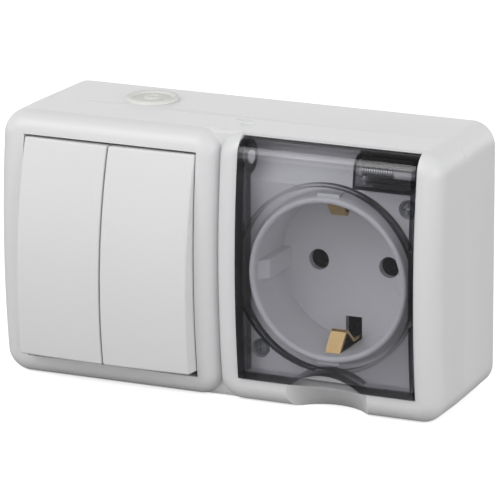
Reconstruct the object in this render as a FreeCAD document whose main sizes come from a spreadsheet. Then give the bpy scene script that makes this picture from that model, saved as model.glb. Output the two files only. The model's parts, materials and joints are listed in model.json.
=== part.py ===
import FreeCAD, Part
import math
import os
import re
import Sketcher

# Surface-mounted, splash-proof two-gang rocker switch beside an earthed socket under a smoked
# spring lid. Frame: +X to the right, +Y into the wall, +Z up. The origin is the centre of the
# face that lies on the wall, so a depth of 20 is the plane Y = -20.

doc = FreeCAD.newDocument("switch_and_socket")
dims = doc.addObject("Spreadsheet::Sheet", "dims")

SIZES = [
    ("frame_side", 6.1, "front cover, bar beside each opening"),
    ("frame_low", 6.6, "front cover, bar under the lid"),
    ("frame_end", 5.4, "front cover, bar above and below the rockers"),
    ("back_draft", 0.75, "each end of the back box leans in by this towards the wall"),
    ("back_rise", 0.15, "its top and bottom lean in by this"),
    ("box_depth", 21.5, "wall to parting line"),
    ("front_depth", 40.3, "wall to the crown of the front cover"),
    ("crown_radius", 225.0, "front face, curved from top to bottom"),
    ("corner_radius", 6.0, "corners seen from the front"),
    ("edge_round", 4.6, "roll of the front edges"),
    ("skin", 2.0, "wall of the box and of the cover"),
    ("bar_thickness", 6.8, "front bars of the cover, at the crown"),
    ("groove_deep", 7.0, "crown to the foot of the groove between the two modules"),
    ("tongue_height", 1.5, "tongue of the box inside the cover"),
    ("tongue_wall", 0.9, "thickness of that tongue"),
    ("slip_gap", 0.15, "play of the tongue in the cover"),
    ("work_gap", 0.3, "gap round what moves or is dropped in"),
    ("switch_shift", 1.0, "rockers, from the middle of their module towards the socket"),
    ("lip_step", 6.0, "crown to the lip above the lid"),
    ("fixing_inset_x", 7.5, "wall screws, from the side of the box"),
    ("fixing_inset_z", 10.5, "wall screws, from the top or bottom of the box"),
    ("fixing_radius", 2.25, "hole for a wall screw"),
    ("post_radius", 3.3, "screw post in the box"),
    ("pilot_radius", 1.25, "pilot hole in a post"),
    ("gland_shift", 0.4, "cable entry, left of the middle of the rockers"),
    ("gland_depth", 12.3, "cable entry, from the wall"),
    ("gland_radius", 6.9, "cable entry flange"),
    ("gland_hole_radius", 5.6, "hole for the cable entry"),
    ("rocker_split", 0.4, "gap between the two rockers"),
    ("rocker_end_gap", 1.3, "gap at the top of a level rocker"),
    ("rocker_foot", 0.4, "lower end of a rocker, longer than its upper end"),
    ("rocker_proud", 4.9, "crown of a level rocker, in front of the cover"),
    ("rocker_crown", 120.0, "rocker, curved from top to bottom"),
    ("rocker_barrel", 275.0, "the pair of rockers, curved from side to side"),
    ("rocker_wall", 1.2, "rocker, side wall"),
    ("rocker_top", 1.8, "rocker, face"),
    ("rocker_skirt_step", 10.2, "rocker, crown to the back edge"),
    ("rocker_tilt", 4.7, "lean of a rocker at either end of its travel, in degrees"),
    ("pivot_step", 14.2, "rocker, crown to the pivots"),
    ("trunnion_radius", 1.5, "pivot pins of the rockers"),
    ("running_gap", 0.05, "play of a pin in its bore"),
    ("ear_thickness", 2.4, "ears that carry the pivot pins"),
    ("base_rear", 4.0, "wall to the back of both insulating bases"),
    ("switch_base_front", 15.0, "wall to the front of the switch base"),
    ("switch_base_inset", 1.9, "each side of the switch base, inside the opening"),
    ("switch_base_height", 40.0, "switch base, bottom to top"),
    ("retainer_thickness", 1.6, "plate that closes the switch base"),
    ("knuckle_radius", 0.35, "round ridge on which a contact rocker rocks"),
    ("fulcrum_rise", 0.6, "rocking line of the contact rockers, in front of the retainer"),
    ("blade_thickness", 0.8, "brass strip"),
    ("blade_width", 5.0, "contact rocker, width"),
    ("blade_reach", 9.0, "contact rocker, middle to end"),
    ("blade_tilt", 6.0, "lean of a contact rocker at either end, in degrees"),
    ("plunger_radius", 1.9, "sprung plunger"),
    ("plunger_spring_wire", 0.2, "plunger spring, wire radius"),
    ("collar_height", 5.0, "plate to the rim of the socket well"),
    ("well_depth", 17.3, "rim to the floor of the well"),
    ("well_radius", 19.5, "inside of the well"),
    ("collar_wall", 1.7, "wall of the well"),
    ("collar_flare", 1.2, "how much the collar spreads towards the plate"),
    ("collar_room", 1.0, "collar to the inside of the lid, at each side"),
    ("plate_thickness", 2.0, "socket plate and well floor"),
    ("plate_lap", 1.1, "socket plate, behind each side of the opening"),
    ("rib_reach", 2.5, "side guide ribs, out from the wall of the well"),
    ("rib_width", 5.0, "side guide ribs, across"),
    ("rib_drop", 1.2, "rim to the end of a guide rib"),
    ("pin_spacing", 19.0, "pin holes, centre to centre"),
    ("pin_hole_radius", 2.7, "pin hole"),
    ("slot_width", 4.4, "slots for the earth clips"),
    ("slot_start", 13.8, "well axis to the near end of a floor slot"),
    ("slot_rise", 1.6, "plate to the front end of a wall slot"),
    ("tab_width", 6.0, "flat housings outside the collar, across"),
    ("tab_wall", 0.8, "flat housings, out from the collar"),
    ("tab_height", 4.0, "plate to the face of a housing"),
    ("tab_room", 5.9, "lower housing to the bottom of the opening"),
    ("screw_lower_x", 1.1, "lower plate screw, inside the collar's side"),
    ("screw_lower_z", 0.2, "lower plate screw, inside the collar's bottom"),
    ("screw_upper_x", 1.6, "upper plate screw, inside the collar's side"),
    ("screw_upper_z", 2.2, "upper plate screw, inside the collar's top"),
    ("screw_head_radius", 2.1, "small screw, head"),
    ("screw_head_height", 1.5, "small screw, head"),
    ("screw_shank_radius", 1.2, "small screw, shank"),
    ("recess_radius", 2.5, "recess for a plate screw"),
    ("recess_deep", 1.7, "recess for a plate screw"),
    ("socket_base_width", 32.0, "socket base, side to side"),
    ("socket_base_height", 44.0, "socket base, bottom to top"),
    ("clip_reach", 4.8, "well wall to the bend of an earth clip"),
    ("clip_bend", 8.9, "well floor to that bend"),
    ("clip_bend_radius", 0.9, "middle of the strip at that bend"),
    ("clip_width", 4.0, "earth strip, width"),
    ("clip_dip", 4.2, "earth strip, set back behind the floor slots"),
    ("clip_pocket", 6.0, "pocket for the earth strip in the socket base"),
    ("sleeve_radius", 3.0, "pin contact, outside"),
    ("sleeve_length", 8.0, "pin contact, length"),
    ("sleeve_set", 3.4, "pin contact, behind the front of the socket base"),
    ("roll_radius", 5.1, "roll at the top of the lid, about the hinge line"),
    ("hinge_drop", 6.1, "top of the cover to the hinge line"),
    ("lid_proud", 0.6, "lid, in front of the cover"),
    ("lid_thickness", 1.4, "lid, panel and walls"),
    ("lid_clear", 1.0, "plate to the back edge of the lid's walls"),
    ("lid_ear_radius", 4.3, "ears of the lid round the hinge"),
    ("stud_radius", 1.7, "hinge studs on the cover"),
    ("stud_reach", 2.1, "left stud, out from the wall of the opening"),
    ("boss_reach", 7.2, "right stud, out from the wall of the opening"),
    ("arbor_radius", 1.0, "pin inside the lid spring"),
    ("spring_radius", 1.55, "lid spring, middle of the wire"),
    ("spring_wire", 0.28, "lid spring, wire radius"),
    ("spring_turns", 13.0, "lid spring, turns"),
    ("spring_length", 8.2, "lid spring, coil length"),
    ("arch_radius", 14.5, "finger arch in the lid"),
    ("arch_rise", 3.4, "height of that arch"),
    ("arch_wall", 1.0, "wall that follows the arch"),
    ("arch_wall_front", 2.3, "front of the lid to the front of that wall"),
    ("seal_side", 0.1, "ring on the inside of the lid, inside the opening's side"),
    ("seal_wall", 0.9, "wall of that ring"),
    ("seal_up", 0.4, "middle of the ring above the well axis"),
    ("scoop_half_width", 10.8, "finger scoop, half its width"),
    ("scoop_deep", 10.5, "crown to the deepest point of the scoop"),
    ("scoop_shallow", 0.6, "hollow of the scoop at its upper edge"),
]
for row, (alias, value, meaning) in enumerate(SIZES, start=1):
    dims.set(f"A{row}", meaning)
    dims.set(f"B{row}", str(value))
    dims.setAlias(f"B{row}", alias)
doc.recompute()

# Places that follow from the sizes above, each written once.
DERIVED = {
    "collar_radius": "well_radius + collar_wall",
    "opening_width": "2 * (collar_radius + collar_room + lid_thickness + work_gap)",
    "opening_half": "opening_width / 2",
    "half_width": "opening_width + 2 * frame_side",
    "tab_reach": "collar_radius + tab_wall",
    "lid_opening_low": "tab_reach + tab_room",
    "half_height": "lid_opening_low + frame_low",
    "rocker_opening_height": "2 * (half_height - frame_end)",
    "rocker_half_height": "rocker_opening_height / 2 - rocker_end_gap",
    "socket_x": "half_width / 2",
    "switch_x": "switch_shift - half_width / 2",
    "gland_x": "switch_x - gland_shift",
    "fixing_x": "2 * (half_width - fixing_inset_x)",
    "fixing_z": "2 * (half_height - fixing_inset_z)",
    "bar_rear": "front_depth - bar_thickness",
    "groove_floor": "front_depth - groove_deep",
    "lip_depth": "front_depth - lip_step",
    "plate_depth": "bar_rear - work_gap",
    "plate_width": "opening_width + 2 * plate_lap",
    "rim_depth": "plate_depth + collar_height",
    "slot_top": "plate_depth + slot_rise",
    "tab_depth": "plate_depth + tab_height",
    "scoop_rear": "front_depth - scoop_deep",
    "rocker_face": "front_depth + rocker_proud",
    "rocker_skirt": "rocker_face - rocker_skirt_step",
    "pivot_depth": "rocker_face - pivot_step",
    "switch_base_width": "opening_width - 2 * switch_base_inset",
    "fulcrum_depth": "retainer_front + fulcrum_rise",
    "hinge_up": "half_height - hinge_drop",
    "hinge_depth": "lid_front - hinge_up ^ 2 / (2 * crown_radius) - roll_radius",
    "lid_rear": "plate_depth + lid_clear",
    "seal_radius": "opening_half - seal_side",
    "clip_peak": "well_radius - clip_reach",
    "clip_peak_depth": "floor_depth + clip_bend",
    "lid_left": "socket_x - opening_half + work_gap",
    "lid_right": "socket_x + opening_half - work_gap",
    "lid_front": "front_depth + lid_proud",
    "lid_low": "-lid_opening_low + work_gap",
    "floor_depth": "rim_depth - well_depth",
    "arch_centre": "lid_low + arch_rise - arch_radius",
    "rocker_width": "(opening_width - 2 * work_gap - rocker_split) / 2",
    "boss_tip": "socket_x + opening_half - boss_reach",
    "retainer_front": "switch_base_front + retainer_thickness",
    "socket_base_front": "floor_depth - plate_thickness - 2 * blade_thickness",
}
aliases = [alias for alias, value, meaning in SIZES]
workings = doc.addObject("Spreadsheet::Sheet", "workings")


def formula(text):
    """Turns a formula in plain size names into one that reads the sheet."""
    words = re.compile(r"\b(" + "|".join(DERIVED) + r")\b")
    while words.search(text):
        text = words.sub(lambda found: "(" + DERIVED[found.group(1)] + ")", text)
    return re.sub(r"\b(" + "|".join(aliases) + r")\b", r"dims.\1", text)


def size(text):
    """The value of such a formula, in millimetres."""
    workings.set("A1", "=" + formula(text))
    workings.recompute()
    return float(workings.get("A1"))


def bind(thing, **formulas):
    """Ties properties of an object to the sheet."""
    for name, text in formulas.items():
        thing.setExpression(name.replace("__", "."), formula(text))


nodes = []


def node(label, thing):
    """Registers a finished piece under the name of its file."""
    thing.Label = label
    nodes.append(thing)
    return thing


def block(name, left, right, rear, front, low, high):
    """A box between two places each way; rear and front are depths from the wall."""
    thing = doc.addObject("Part::Box", name)
    bind(thing, Length=f"({right}) - ({left})", Width=f"({front}) - ({rear})",
         Height=f"({high}) - ({low})", Placement__Base__x=left,
         Placement__Base__y=f"-({front})", Placement__Base__z=low)
    return thing


TURNS = {
    "right": FreeCAD.Rotation(FreeCAD.Vector(0, 1, 0), 90),
    "front": FreeCAD.Rotation(FreeCAD.Vector(1, 0, 0), 90),
    "up": FreeCAD.Rotation(),
}


def rod(name, heading, along, depth, up, radius, length):
    """A cylinder that starts at a point and runs to the right, to the front or up."""
    thing = doc.addObject("Part::Cylinder", name)
    thing.Placement = FreeCAD.Placement(FreeCAD.Vector(), TURNS[heading])
    bind(thing, Radius=radius, Height=length, Placement__Base__x=along,
         Placement__Base__y=f"-({depth})", Placement__Base__z=up)
    return thing


def fuse(name, *things):
    whole = doc.addObject("Part::MultiFuse", name)
    whole.Shapes = list(things)
    whole.Refine = True
    return whole


def cut(name, base, *tools):
    tool = tools[0] if len(tools) == 1 else fuse(name + "_tools", *tools)
    whole = doc.addObject("Part::Cut", name)
    whole.Base = base
    whole.Tool = tool
    whole.Refine = True
    return whole


def new_body(name):
    return doc.addObject("PartDesign::Body", name)


def new_sketch(body, name, role, offset="0"):
    """A sketch on one of the body's own planes, moved along its normal. On XZ_Plane the
    normal points to the front, so the offset is a depth; on YZ_Plane depths are negative x."""
    sketch = body.newObject("Sketcher::SketchObject", name)
    plane = next(item for item in body.Origin.OriginFeatures if item.Role == role)
    sketch.AttachmentSupport = [(plane, "")]
    sketch.MapMode = "FlatFace"
    bind(sketch, AttachmentOffset__Base__z=offset)
    return sketch


def datum(sketch, kind, where, text):
    """Adds a dimension to a sketch and ties it to the sheet."""
    index = sketch.addConstraint(Sketcher.Constraint(kind, *where, size(text)))
    sketch.setExpression(f"Constraints[{index}]", formula(text))


def draw_rectangle(sketch, left, right, low, high):
    """A rectangle whose four sides are placed from the sketch's origin."""
    corners = [(left, low), (right, low), (right, high), (left, high)]
    points = [FreeCAD.Vector(size(x), size(z), 0) for x, z in corners]
    first = sketch.GeometryCount
    for index in range(4):
        sketch.addGeometry(Part.LineSegment(points[index], points[(index + 1) % 4]))
    for index in range(4):
        after = first + (index + 1) % 4
        sketch.addConstraint(Sketcher.Constraint("Coincident", first + index, 2, after, 1))
        level = "Horizontal" if index % 2 == 0 else "Vertical"
        sketch.addConstraint(Sketcher.Constraint(level, first + index))
    datum(sketch, "DistanceX", (-1, 1, first, 1), left)
    datum(sketch, "DistanceY", (-1, 1, first, 1), low)
    datum(sketch, "DistanceX", (-1, 1, first + 2, 1), right)
    datum(sketch, "DistanceY", (-1, 1, first + 2, 1), high)


def draw_circle(sketch, along, up, radius):
    centre = FreeCAD.Vector(size(along), size(up), 0)
    index = sketch.addGeometry(Part.Circle(centre, FreeCAD.Vector(0, 0, 1), size(radius)))
    datum(sketch, "Radius", (index,), radius)
    datum(sketch, "DistanceX", (-1, 1, index, 3), along)
    datum(sketch, "DistanceY", (-1, 1, index, 3), up)


def draw_outline(sketch, *path):
    """A closed outline through points. A pair is a corner; a triple ("arc", via, end) bends
    to the end through a point on the way."""
    start = FreeCAD.Vector(*path[0], 0)
    here = start
    for step in path[1:] + (path[0],):
        if step[0] == "arc":
            via = FreeCAD.Vector(*step[1], 0)
            there = FreeCAD.Vector(*step[2], 0)
            sketch.addGeometry(Part.Arc(here, via, there))
        else:
            there = FreeCAD.Vector(*step, 0)
            if there.distanceToPoint(here) > 1e-6:
                sketch.addGeometry(Part.LineSegment(here, there))
        here = there


def finish_feature(body, feature, grows):
    """Recomputes after a feature and makes sure that it did something."""
    before = feature.BaseFeature.Shape.Volume if feature.BaseFeature else 0.0
    doc.recompute()
    change = feature.Shape.Volume - before
    if (change > 1e-3) != grows and abs(change) > 1e-3 or abs(change) <= 1e-3:
        raise RuntimeError(f"{feature.Name} changed nothing or the wrong way: {change}")
    return feature


def pad(body, sketch, length, midplane=False, backwards=False):
    feature = body.newObject("PartDesign::Pad", sketch.Name + "_pad")
    feature.Profile = sketch
    feature.Midplane = midplane
    feature.Reversed = backwards
    bind(feature, Length=length)
    return finish_feature(body, feature, True)


def pocket(body, sketch, length, midplane=False, forwards=False):
    feature = body.newObject("PartDesign::Pocket", sketch.Name + "_pocket")
    feature.Profile = sketch
    feature.Midplane = midplane
    feature.Reversed = forwards
    bind(feature, Length=length)
    return finish_feature(body, feature, False)


def turn_about(body, sketch, axis, grows=True):
    kind = "PartDesign::Revolution" if grows else "PartDesign::Groove"
    feature = body.newObject(kind, sketch.Name + "_turned")
    feature.Profile = sketch
    feature.ReferenceAxis = (sketch, [axis])
    feature.Angle = 360.0
    return finish_feature(body, feature, grows)


def edges_that(shape, test):
    return [f"Edge{number}" for number, edge in enumerate(shape.Edges, start=1) if test(edge)]


def along_y(edge):
    """True for a straight edge that runs from back to front."""
    if not isinstance(edge.Curve, Part.Line):
        return False
    return abs(abs(edge.Curve.Direction.y) - 1) < 1e-6


def soften(body, test, radius, kind="PartDesign::Fillet"):
    """Rounds, or bevels, the edges of the body's last feature that pass a test."""
    base = body.Tip
    feature = body.newObject(kind, base.Name + "_soft")
    feature.Base = (base, edges_that(base.Shape, test))
    prop = "Radius" if kind == "PartDesign::Fillet" else "Size"
    bind(feature, **{prop: radius})
    doc.recompute()
    return feature


def rounded_block(name, left, right, rear, front, low, high, radius):
    """A block with its four front-to-back corners rounded."""
    body = new_body(name)
    sketch = new_sketch(body, name + "_outline", "XZ_Plane", rear)
    draw_rectangle(sketch, left, right, low, high)
    pad(body, sketch, f"({front}) - ({rear})")
    soften(body, along_y, radius)
    return body


def crown_y(front, radius, z):
    """Y of a face that is curved from top to bottom, at a height z."""
    return -(front - radius + math.sqrt(radius ** 2 - z ** 2))


# Back box: a tapered tray that is screwed to the wall, with posts for the screws inside.
back_box_shell = new_body("back_box_shell")
rear_outline = new_sketch(back_box_shell, "back_box_rear", "XZ_Plane")
draw_rectangle(rear_outline, "-half_width + back_draft", "half_width - back_draft",
               "-half_height + back_rise", "half_height - back_rise")
front_outline = new_sketch(back_box_shell, "back_box_front", "XZ_Plane", "box_depth")
draw_rectangle(front_outline, "-half_width", "half_width", "-half_height", "half_height")
taper = back_box_shell.newObject("PartDesign::AdditiveLoft", "back_box_taper")
taper.Profile = rear_outline
taper.Sections = [front_outline]
taper.Ruled = True
finish_feature(back_box_shell, taper, True)


def long_corner(edge):
    """True for the four corner edges that run from the wall to the parting line."""
    return abs(edge.BoundBox.YLength - size("box_depth")) < 1e-3


soften(back_box_shell, long_corner, "corner_radius")
inside = new_sketch(back_box_shell, "back_box_inside", "XZ_Plane", "box_depth")
draw_rectangle(inside, "-half_width + skin + back_draft", "half_width - skin - back_draft",
               "-half_height + skin + back_rise", "half_height - skin - back_rise")
pocket(back_box_shell, inside, "box_depth - skin")

tongue = cut(
    "box_tongue",
    rounded_block("tongue_outer", "-half_width + skin + slip_gap", "half_width - skin - slip_gap",
                  "box_depth - 2", "box_depth + tongue_height",
                  "-half_height + skin + slip_gap", "half_height - skin - slip_gap",
                  "corner_radius - skin - slip_gap"),
    rounded_block("tongue_inner", "-half_width + skin + slip_gap + tongue_wall",
                  "half_width - skin - slip_gap - tongue_wall",
                  "box_depth - 3", "box_depth + tongue_height + 1",
                  "-half_height + skin + slip_gap + tongue_wall",
                  "half_height - skin - slip_gap - tongue_wall",
                  "corner_radius - skin - slip_gap - tongue_wall"))

PLATE_SCREWS = {
    "lower": ("socket_x - collar_radius + screw_lower_x", "screw_lower_z - collar_radius"),
    "upper": ("socket_x + collar_radius - screw_upper_x", "collar_radius - screw_upper_z"),
}
SWITCH_BASE_SCREWS = [("switch_x - switch_base_width / 2 + 4", "switch_base_height / 2 - 4"),
                      ("switch_x + switch_base_width / 2 - 4", "-switch_base_height / 2 + 4")]
SOCKET_BASE_SCREWS = [("socket_x", "socket_base_height / 4 - 2"),
                      ("socket_x", "2 - socket_base_height / 4")]
plate_boss_rear = "plate_depth - recess_deep - plate_thickness"
posts = []
pilots = []
for side, (along, up) in PLATE_SCREWS.items():
    posts.append(rod(f"plate_post_{side}", "front", along, "skin / 2", up, "post_radius",
                     f"{plate_boss_rear} - skin / 2"))
    pilots.append(rod(f"plate_pilot_{side}", "front", along, "skin", up, "pilot_radius",
                      plate_boss_rear))
for number, (along, up) in enumerate(SWITCH_BASE_SCREWS + SOCKET_BASE_SCREWS):
    posts.append(rod(f"base_post_{number}", "front", along, "skin / 2", up, "post_radius",
                     "base_rear - skin / 2"))
    pilots.append(rod(f"base_pilot_{number}", "front", along, "0.6", up, "pilot_radius",
                      "base_rear"))
wall_holes = []
for along in ("-fixing_x / 2", "fixing_x / 2"):
    for up in ("-fixing_z / 2", "fixing_z / 2"):
        wall_holes.append(rod(f"wall_hole_{len(wall_holes)}", "front", along, "-1", up,
                              "fixing_radius", "skin + 2"))
gland_hole = rod("gland_hole", "up", "gland_x", "gland_depth", "half_height - skin - 1",
                 "gland_hole_radius", "skin + 2")
box_solid = fuse("box_solid", back_box_shell, tongue, *posts)
back_box = node("back_box", cut("back_box_cut", box_solid, gland_hole, *pilots, *wall_holes))

# Cable entry: a soft stepped membrane in the top of the box, pierced by the cable later.
gland = new_body("gland_body")
sketch = new_sketch(gland, "gland_section", "XZ_Plane", "gland_depth")
axis_x = size("gland_x")
top = size("half_height")
under = size("half_height - skin - back_rise")
hole = size("gland_hole_radius - 0.05")
flange = size("gland_radius")
FLANGE_RISE = 0.9
MEMBRANE = 0.8
GROOVE_LIP = 0.6
draw_outline(
    sketch,
    (axis_x, top - MEMBRANE), (axis_x + hole - 1.2, top - MEMBRANE),
    (axis_x + hole - 1.2, under - 0.9), (axis_x + hole + GROOVE_LIP, under - 0.9),
    (axis_x + hole + GROOVE_LIP, under), (axis_x + hole, under), (axis_x + hole, top),
    (axis_x + flange, top), (axis_x + flange, top + 0.3),
    ("arc", (axis_x + flange - 0.25, top + 0.75), (axis_x + flange - 0.8, top + FLANGE_RISE)),
    (axis_x + flange - 1.6, top + FLANGE_RISE), (axis_x + flange - 2.2, top + 0.25),
    (axis_x + 2.7, top + 0.25), (axis_x + 2.1, top + 0.85), (axis_x, top + 0.85))
spindle = sketch.addGeometry(
    Part.LineSegment(FreeCAD.Vector(axis_x, top, 0), FreeCAD.Vector(axis_x, top + 5, 0)), True)
turn_about(gland, sketch, "Axis0")
node("gland_membrane", gland)

# Front cover: two crowned modules side by side on one skirt, with rolled front edges.


def on_crown(edge):
    """True for an edge that lies on the crowned front face."""
    for spot in edge.discretize(5):
        if abs(spot.y - crown_y(size("front_depth"), size("crown_radius"), spot.z)) > 1e-3:
            return False
    return True


def cover_module(name, left, right):
    body = new_body(name)
    sketch = new_sketch(body, name + "_outline", "XZ_Plane", "bar_rear - 2")
    draw_rectangle(sketch, left, right, "-half_height", "half_height")
    pad(body, sketch, "front_depth + 1 - (bar_rear - 2)")
    soften(body, along_y, "corner_radius")
    sketch = new_sketch(body, name + "_crown", "YZ_Plane", f"(({left}) + ({right})) / 2")
    front = size("front_depth")
    radius = size("crown_radius")
    reach = size("half_height") + 2
    draw_outline(
        sketch, (-front - 3, -reach), (crown_y(front, radius, -reach), -reach),
        ("arc", (-front, 0), (crown_y(front, radius, reach), reach)), (-front - 3, reach))
    pocket(body, sketch, "half_width + 4", midplane=True)
    soften(body, on_crown, "edge_round")
    return body


switch_module = cover_module("switch_module", "-half_width", "0")
socket_module = cover_module("socket_module", "0", "half_width")
skirt = rounded_block("cover_skirt", "-half_width", "half_width", "box_depth", "groove_floor",
                      "-half_height", "half_height", "corner_radius")
cavity = rounded_block("cover_cavity", "-half_width + skin", "half_width - skin",
                       "box_depth - 1", "bar_rear", "-half_height + skin", "half_height - skin",
                       "corner_radius - skin")
hollow_cover = cut("hollow_cover", fuse("cover_mass", switch_module, socket_module, skirt), cavity)
scoop_backing = block("scoop_backing", "socket_x - scoop_half_width - skin",
                      "socket_x + scoop_half_width + skin", "scoop_rear - skin", "bar_rear",
                      "-half_height + skin / 2", "-lid_opening_low")
centre_rib = block("centre_rib", "-1.5 * skin", "1.5 * skin", "groove_floor - skin",
                   "bar_rear + 0.5", "-half_height + skin / 2", "half_height - skin / 2")
rocker_opening = block("rocker_opening", "switch_x - opening_half", "switch_x + opening_half",
                       "bar_rear - 3", "front_depth + 2", "-rocker_opening_height / 2",
                       "rocker_opening_height / 2")
lid_opening = block("lid_opening", "socket_x - opening_half", "socket_x + opening_half",
                    "bar_rear - 1", "front_depth + 2", "-lid_opening_low",
                    "hinge_up")
lid_roof = block("lid_roof", "socket_x - opening_half", "socket_x + opening_half",
                 "lip_depth", "front_depth + 2", "hinge_up - 1", "half_height + 2")
lid_swing = rod("lid_swing", "right", "socket_x - opening_half", "hinge_depth", "hinge_up",
                "roll_radius + work_gap", "opening_width")
pry_slot = block("pry_slot", "-work_gap - 0.7", "3.4", "box_depth + 1.6", "box_depth + 2.3",
                 "half_height - skin / 2", "half_height + 1")

# The scoop is flush with the face at its upper edge and deep at the underside.
scoop_sections = []
for name, level, rear, mouth in (
        ("scoop_top", "-lid_opening_low + 0.05", "front_depth - 1.6 - scoop_shallow",
         "front_depth - 1.6"),
        ("scoop_foot", "-half_height - 0.05", "scoop_rear", "front_depth - 3.6")):
    wire = doc.addObject("Sketcher::SketchObject", name)
    wire.Placement = FreeCAD.Placement(FreeCAD.Vector(0, 0, size(level)), FreeCAD.Rotation())
    bind(wire, Placement__Base__z=level)
    left_x = size("socket_x - scoop_half_width")
    right_x = size("socket_x + scoop_half_width")
    draw_outline(wire, (left_x, -size("front_depth + 3")), (left_x, -size(mouth)),
                 ("arc", (size("socket_x"), -size(rear)), (right_x, -size(mouth))),
                 (right_x, -size("front_depth + 3")))
    scoop_sections.append(wire)
scoop = doc.addObject("Part::Loft", "scoop")
scoop.Sections = scoop_sections
scoop.Solid = True
scoop.Ruled = True

mark = new_body("opening_mark")
sketch = new_sketch(mark, "opening_mark_outline", "XY_Plane", "half_height - 0.25")
mark_base = -size("box_depth + 4.2")
mark_tip = -size("box_depth + 8.6")
draw_outline(sketch, (1.2, mark_base), (5.8, mark_base), (3.6, mark_tip))
pad(mark, sketch, "1")

left_stud = rod("left_stud", "right", "socket_x - opening_half - 2", "hinge_depth", "hinge_up",
                "stud_radius", "stud_reach + 2")
right_stud = rod("right_stud", "right", "boss_tip", "hinge_depth", "hinge_up", "stud_radius",
                 "boss_reach + 2")
arbor = rod("arbor", "right", "boss_tip - spring_length - 0.8", "hinge_depth", "hinge_up",
            "arbor_radius", "spring_length + 1.8")
pierced_cover = cut("pierced_cover", fuse("backed_cover", hollow_cover, scoop_backing, centre_rib),
                    rocker_opening, lid_opening, lid_roof, lid_swing, pry_slot, scoop, mark)
node("front_cover", fuse("cover_with_studs", pierced_cover, left_stud, right_stud, arbor))

# Rockers: thin crowned caps that turn on the studs of the retainer. Both stand with the lower
# end out. The pair shares one barrel-shaped face, made by turning an arc about an axis behind.


def tilt(thing):
    """Leans a piece about the rocker pivots, from level to its place at rest."""
    pivot = FreeCAD.Vector(0, -size("pivot_depth"), 0)
    turn = FreeCAD.Rotation(FreeCAD.Vector(1, 0, 0), -size("rocker_tilt"))
    lean = FreeCAD.Placement(FreeCAD.Vector(), turn, pivot)
    thing.Placement = lean.multiply(thing.Placement)
    return thing


def barrel_face(name, inset):
    """A disc whose rim is the face of the rocker pair, set back by an inset."""
    body = new_body(name)
    sketch = new_sketch(body, name + "_arc", "XY_Plane")
    face = size("rocker_face") - inset
    middle = size("switch_x")
    half = size("opening_half")
    axis = -(size("rocker_face") - size("rocker_crown"))
    barrel = size("rocker_barrel")
    drop = barrel - math.sqrt(barrel ** 2 - half ** 2)
    draw_outline(sketch, (middle - half, axis), (middle - half, -(face - drop)),
                 ("arc", (middle, -face), (middle + half, -(face - drop))),
                 (middle + half, axis))
    sketch.addGeometry(Part.LineSegment(FreeCAD.Vector(middle - 5, axis, 0),
                                        FreeCAD.Vector(middle + 5, axis, 0)), True)
    turn_about(body, sketch, "Axis0")
    return body


def coil(mean_radius, wire_radius, length, turns, steps=9):
    """A coil of wire that rises along +Z, drawn with straight runs between its steps."""
    count = round(turns * steps)
    points = []
    for index in range(count + 1):
        angle = 2 * math.pi * index / steps
        points.append(FreeCAD.Vector(mean_radius * math.cos(angle),
                                     mean_radius * math.sin(angle), length * index / count))
    path = Part.makePolygon(points)
    heading = points[1] - points[0]
    corners = []
    side = heading.cross(FreeCAD.Vector(0, 0, 1)).normalize()
    for index in range(7):
        turn = FreeCAD.Rotation(heading, 60 * index)
        corners.append(points[0] + turn.multVec(side) * wire_radius)
    return path.makePipeShell([Part.makePolygon(corners)], True, False, 1)


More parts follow.
